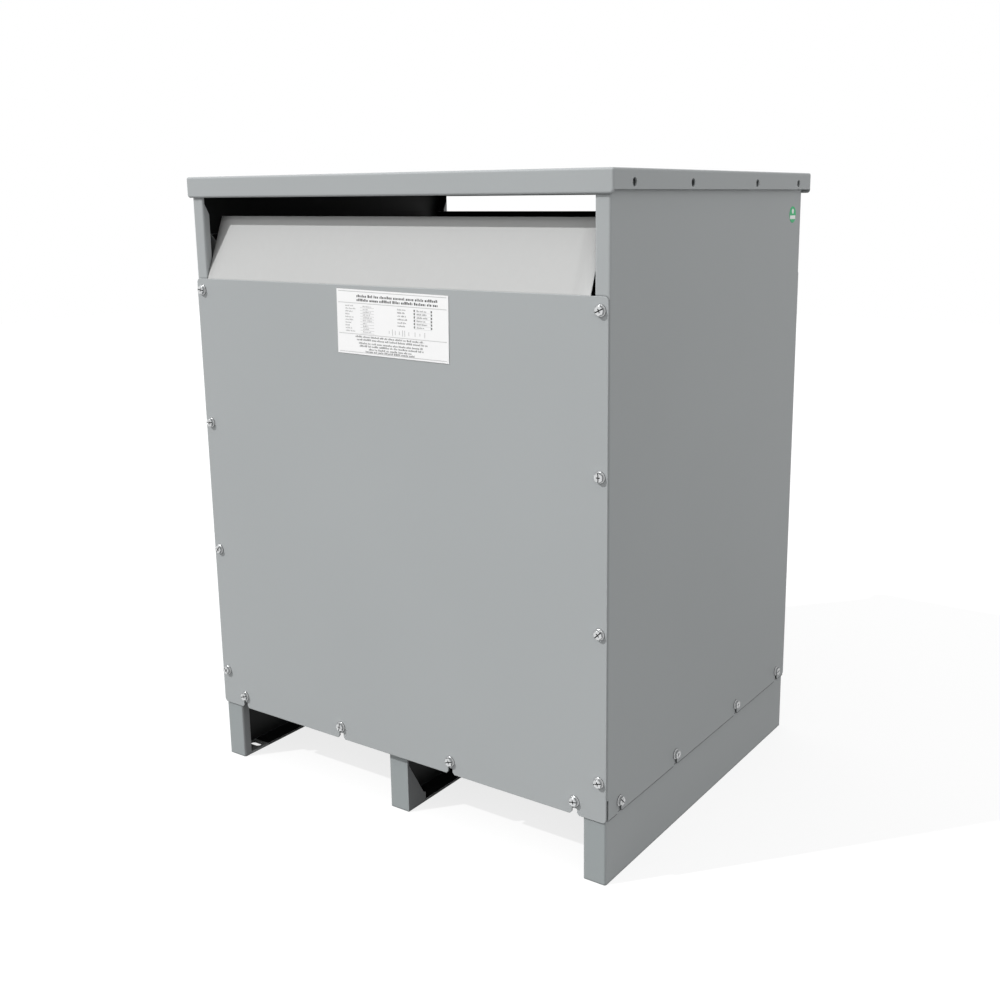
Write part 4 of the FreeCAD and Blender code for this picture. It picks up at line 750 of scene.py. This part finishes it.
for down in BAND_RULES:
    rule(2.5, 162.5, down, 0.8, 0.42)
line_of_print(31, 150, 5.6, 3.1, 1)
line_of_print(31, 150, 10.2, 3.1, 1)
for line in range(10):
    line_of_print(13, 13 + ticks.uniform(6, 17), 18.0 + LIST_PITCH * line, 1.7, 0.55)
    line_of_print(40, 40 + ticks.uniform(6, 14), 18.0 + LIST_PITCH * line, 1.7, 0.5)
    rule(36, 57, 20.3 + LIST_PITCH * line, 0.5, 0.4)
for line in range(6):
    line_of_print(92, 92 + ticks.uniform(7, 18), 18.4 + TABLE_PITCH * line, 1.8, 0.7)
    line_of_print(120, 120 + ticks.uniform(10, 16), 18.6 + TABLE_PITCH * line, 1.8, 0.7)
    rule(116.5, 141.5, 21.2 + TABLE_PITCH * line, 0.4, 0.3)
    rule(115.8, 117.7, 18.2 + TABLE_PITCH * line, 2.3, 0.95)
    rule(140.2, 142.1, 18.2 + TABLE_PITCH * line, 2.3, 0.95)
for tall, rise in PEAKS:
    rule(tall, tall + 0.7, 46 - rise / 2, rise, 0.6)
for down, left, right in FOOT_LINES:
    line_of_print(left, right, down, 2.2, 0.8)

edges = np.array(bars)
across = (edges[:, [0, 1, 1, 0]] / 1000 - PLATE_SIZE[0] / 2)
up = (PLATE_SIZE[1] / 2 - edges[:, [3, 3, 2, 2]] / 1000)
turned_across = across * math.cos(PLATE_TILT) + up * math.sin(PLATE_TILT) + PLATE_CENTRE.x
turned_up = up * math.cos(PLATE_TILT) - across * math.sin(PLATE_TILT) + PLATE_CENTRE.z
front = np.stack([turned_across, np.full_like(across, plate_front - INK_DEPTH), turned_up], -1)
back = front + [0, 2 * INK_DEPTH, 0]
corners = np.concatenate([front, back], 1).reshape(-1, 3)
block = np.array([[0, 1, 2, 3], [5, 4, 7, 6], [1, 0, 4, 5], [2, 1, 5, 6], [3, 2, 6, 7], [0, 3, 7, 4]])
faces = (np.arange(len(bars))[:, None, None] * 8 + block).reshape(-1, 4)

finish, tree, tie = finish_of("plate_ink", roughness=0.5)
ink = node(tree, "Attribute", attribute_name="ink").outputs["Fac"]
patchy = noise(tree, place_of(tree), 1500.0, 2.0)
strength = value(tree, "MULTIPLY", ink, value(tree, "MULTIPLY_ADD", patchy, 0.3, 0.8), use_clamp=True)
tie("Base Color", blend(tree, strength, (0.93, 0.93, 0.93, 1), (0.01, 0.01, 0.011, 1)))
data = bpy.data.meshes.new("data_plate_print")
data.from_pydata(corners, [], faces.tolist())
data.attributes.new("ink", "FLOAT", "POINT").data.foreach_set("value", np.repeat(edges[:, 4], 8))
data.materials.append(finish)
printing = bpy.data.objects.new("data_plate_print", data)
bpy.context.scene.collection.objects.link(printing)
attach(printing, "root")

finish, tree, tie = finish_of("plate_film", specular_ior_level=0.4)
cloud = noise(tree, place_of(tree), 40.0, 3.0)
tie("Base Color", blend(tree, cloud, (0.92, 0.92, 0.92, 1), (0.96, 0.96, 0.96, 1)))
tie("Roughness", value(tree, "MULTIPLY_ADD", cloud, 0.15, 0.3))
tie("Normal", bump(tree, cloud, 0.00005, 0.3))
paint_pieces(("data_plate",), finish)


# Round sticker: a green film high on the right side panel, cut round and pressed on. Its marks
# are left out, with a plain pale disc and band in their place.

STICKER_RADIUS = 0.0105
STICKER_DEPTH = 0.0003
STICKER_PLACE = (0.2197, 0.727)          # along the side, and up
DISC_RISE = 0.0042           # the pale disc's middle above the sticker's
DISC_RADIUS = 0.0032
BAND_DROP = 0.0034           # the pale band's middle below the sticker's
BAND_HALF_HEIGHT = 0.0023
BAND_HALF_WIDTH = 0.0088

rings = np.array([(0, 0), (STICKER_RADIUS, 0), (STICKER_RADIUS, STICKER_DEPTH / 2),
                  (STICKER_RADIUS - STICKER_DEPTH / 2, STICKER_DEPTH), (0, STICKER_DEPTH)])
turn = np.linspace(0, 2 * np.pi, 64, endpoint=False)
across, along = rings[:, :1] * np.cos(turn), rings[:, :1] * np.sin(turn)
points, faces = closed_grid(np.stack([across, along, rings[:, 1:] + 0 * across], -1))
seat = np.array([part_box("round_sticker")[0].x, *STICKER_PLACE])
sticker_finish, tree, tie = finish_of("sticker_film", specular_ior_level=0.2)
centred = node(tree, "VectorMath", {0: place_of(tree), 1: seat}, operation="SUBTRACT").outputs[0]
axes = parts_of(tree, centred)
rise = value(tree, "SUBTRACT", axes["Z"], DISC_RISE)
from_disc = value(tree, "SQRT", value(tree, "MULTIPLY_ADD", rise, rise,
                                      value(tree, "MULTIPLY", axes["Y"], axes["Y"])))
in_height = less(tree, value(tree, "ABSOLUTE", value(tree, "ADD", axes["Z"], BAND_DROP)), BAND_HALF_HEIGHT)
in_width = less(tree, value(tree, "ABSOLUTE", axes["Y"]), BAND_HALF_WIDTH)
marks = value(tree, "MAXIMUM", less(tree, from_disc, DISC_RADIUS), both(tree, in_height, in_width))
mottle = noise(tree, centred, 300.0, 2.0)
green = blend(tree, mottle, (0.008, 0.42, 0.13, 1), (0.03, 0.55, 0.22, 1))
tie("Base Color", blend(tree, marks, green, (0.93, 0.95, 0.93, 1)))
tie("Roughness", value(tree, "MULTIPLY_ADD", mottle, 0.1, 0.3))
sticker_part = (turned(points, (1, 0, 0), 0) + seat, faces, np.zeros(len(points)))
sticker = mesh_piece("round_sticker_film", [sticker_part], sticker_finish)
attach(sticker, "root")
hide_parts("round_sticker")


# Floor, light and camera. The floor is pale and plain, and shows as white to the camera with the
# object's soft shadow on it. A sun from the front left and an even sky light the object.

FLOOR_HALF = 6.0
FLOOR_DROP = 0.0002          # below the feet
FLOOR_GLOW = 0.8
SKY_LEVEL = 0.985            # at the horizon
SKY_FALL = -0.31             # from the horizon to straight above


def seen(tree):
    """1 for a ray that the camera, a gloss or a clear surface sends out, else 0."""
    path = node(tree, "LightPath").outputs
    return value(tree, "MAXIMUM", path["Is Camera Ray"],
                 value(tree, "MAXIMUM", path["Is Glossy Ray"], path["Is Transmission Ray"]))


bpy.ops.mesh.primitive_plane_add(size=2 * FLOOR_HALF, location=(0, 0, -FLOOR_DROP))
floor = bpy.context.active_object
floor.name = "floor"
floor_finish = bpy.data.materials.new("floor_white")
floor_finish.use_nodes = True
tree = floor_finish.node_tree
tree.nodes.clear()
shown = seen(tree)
glow = node(tree, "Emission", {"Color": (1, 1, 1, 1), "Strength": value(tree, "MULTIPLY", shown, FLOOR_GLOW)})
grey = blend(tree, shown, (0.18, 0.18, 0.18, 1), (0.25, 0.25, 0.25, 1))
matt = node(tree, "BsdfDiffuse", {"Color": grey})
surface = node(tree, "AddShader", {0: glow.outputs[0], 1: matt.outputs[0]})
node(tree, "OutputMaterial", {"Surface": surface.outputs[0]})
floor.data.materials.append(floor_finish)

sky = bpy.data.worlds.new("sky")
bpy.context.scene.world = sky
sky.use_nodes = True
tree = sky.node_tree
tree.nodes.clear()
shown = seen(tree)
height = parts_of(tree, node(tree, "TexCoord").outputs["Generated"])["Z"]
level = value(tree, "MULTIPLY_ADD", height, SKY_FALL, SKY_LEVEL)
strength = node(tree, "Mix", {"Factor": shown, "A": level, "B": 1.0}, data_type="FLOAT").outputs["Result"]
backdrop = node(tree, "Background", {"Color": (1, 1, 1, 1), "Strength": strength})
node(tree, "OutputWorld", {"Surface": backdrop.outputs[0]})

SUN_FROM = Vector((-0.855, -1, 1.217))
SUN_STRENGTH = 2.24
SUN_WIDTH = math.radians(0.8)
sun = bpy.data.objects.new("sun", bpy.data.lights.new("sun", "SUN"))
sun.data.energy = SUN_STRENGTH
sun.data.angle = SUN_WIDTH
sun.rotation_euler = SUN_FROM.to_track_quat("Z", "Y").to_euler()
bpy.context.scene.collection.objects.link(sun)

IMAGE_SIDE = 1000                       # pixels
FOCAL_LENGTH = 1189.47                  # pixels
PRINCIPAL_POINT = (534.13, 457.11)      # pixel of the photograph straight ahead of the lens
SENSOR = 36.0                           # mm
CAMERA_PLACE = Vector((0.90964, -1.28027, 0.75169))
YAW, PITCH, ROLL = (math.radians(angle) for angle in (34.069, 12.321, -0.476))
ahead = Vector((-math.sin(YAW) * math.cos(PITCH), math.cos(YAW) * math.cos(PITCH), -math.sin(PITCH)))
level_right = Vector((math.cos(YAW), math.sin(YAW), 0))
level_up = level_right.cross(ahead)
right = math.cos(ROLL) * level_right + math.sin(ROLL) * level_up
camera_up = math.cos(ROLL) * level_up - math.sin(ROLL) * level_right
camera = bpy.data.objects.new("camera", bpy.data.cameras.new("camera"))
turned_to = Matrix((right, camera_up, -ahead)).transposed().to_4x4()
camera.matrix_world = Matrix.Translation(CAMERA_PLACE) @ turned_to
camera.data.sensor_width = SENSOR
camera.data.lens = FOCAL_LENGTH / IMAGE_SIDE * SENSOR
camera.data.shift_x = (IMAGE_SIDE / 2 - PRINCIPAL_POINT[0]) / IMAGE_SIDE
camera.data.shift_y = (PRINCIPAL_POINT[1] - IMAGE_SIDE / 2) / IMAGE_SIDE
bpy.context.scene.collection.objects.link(camera)
bpy.context.scene.camera = camera
bpy.context.scene.view_settings.view_transform = "Standard"
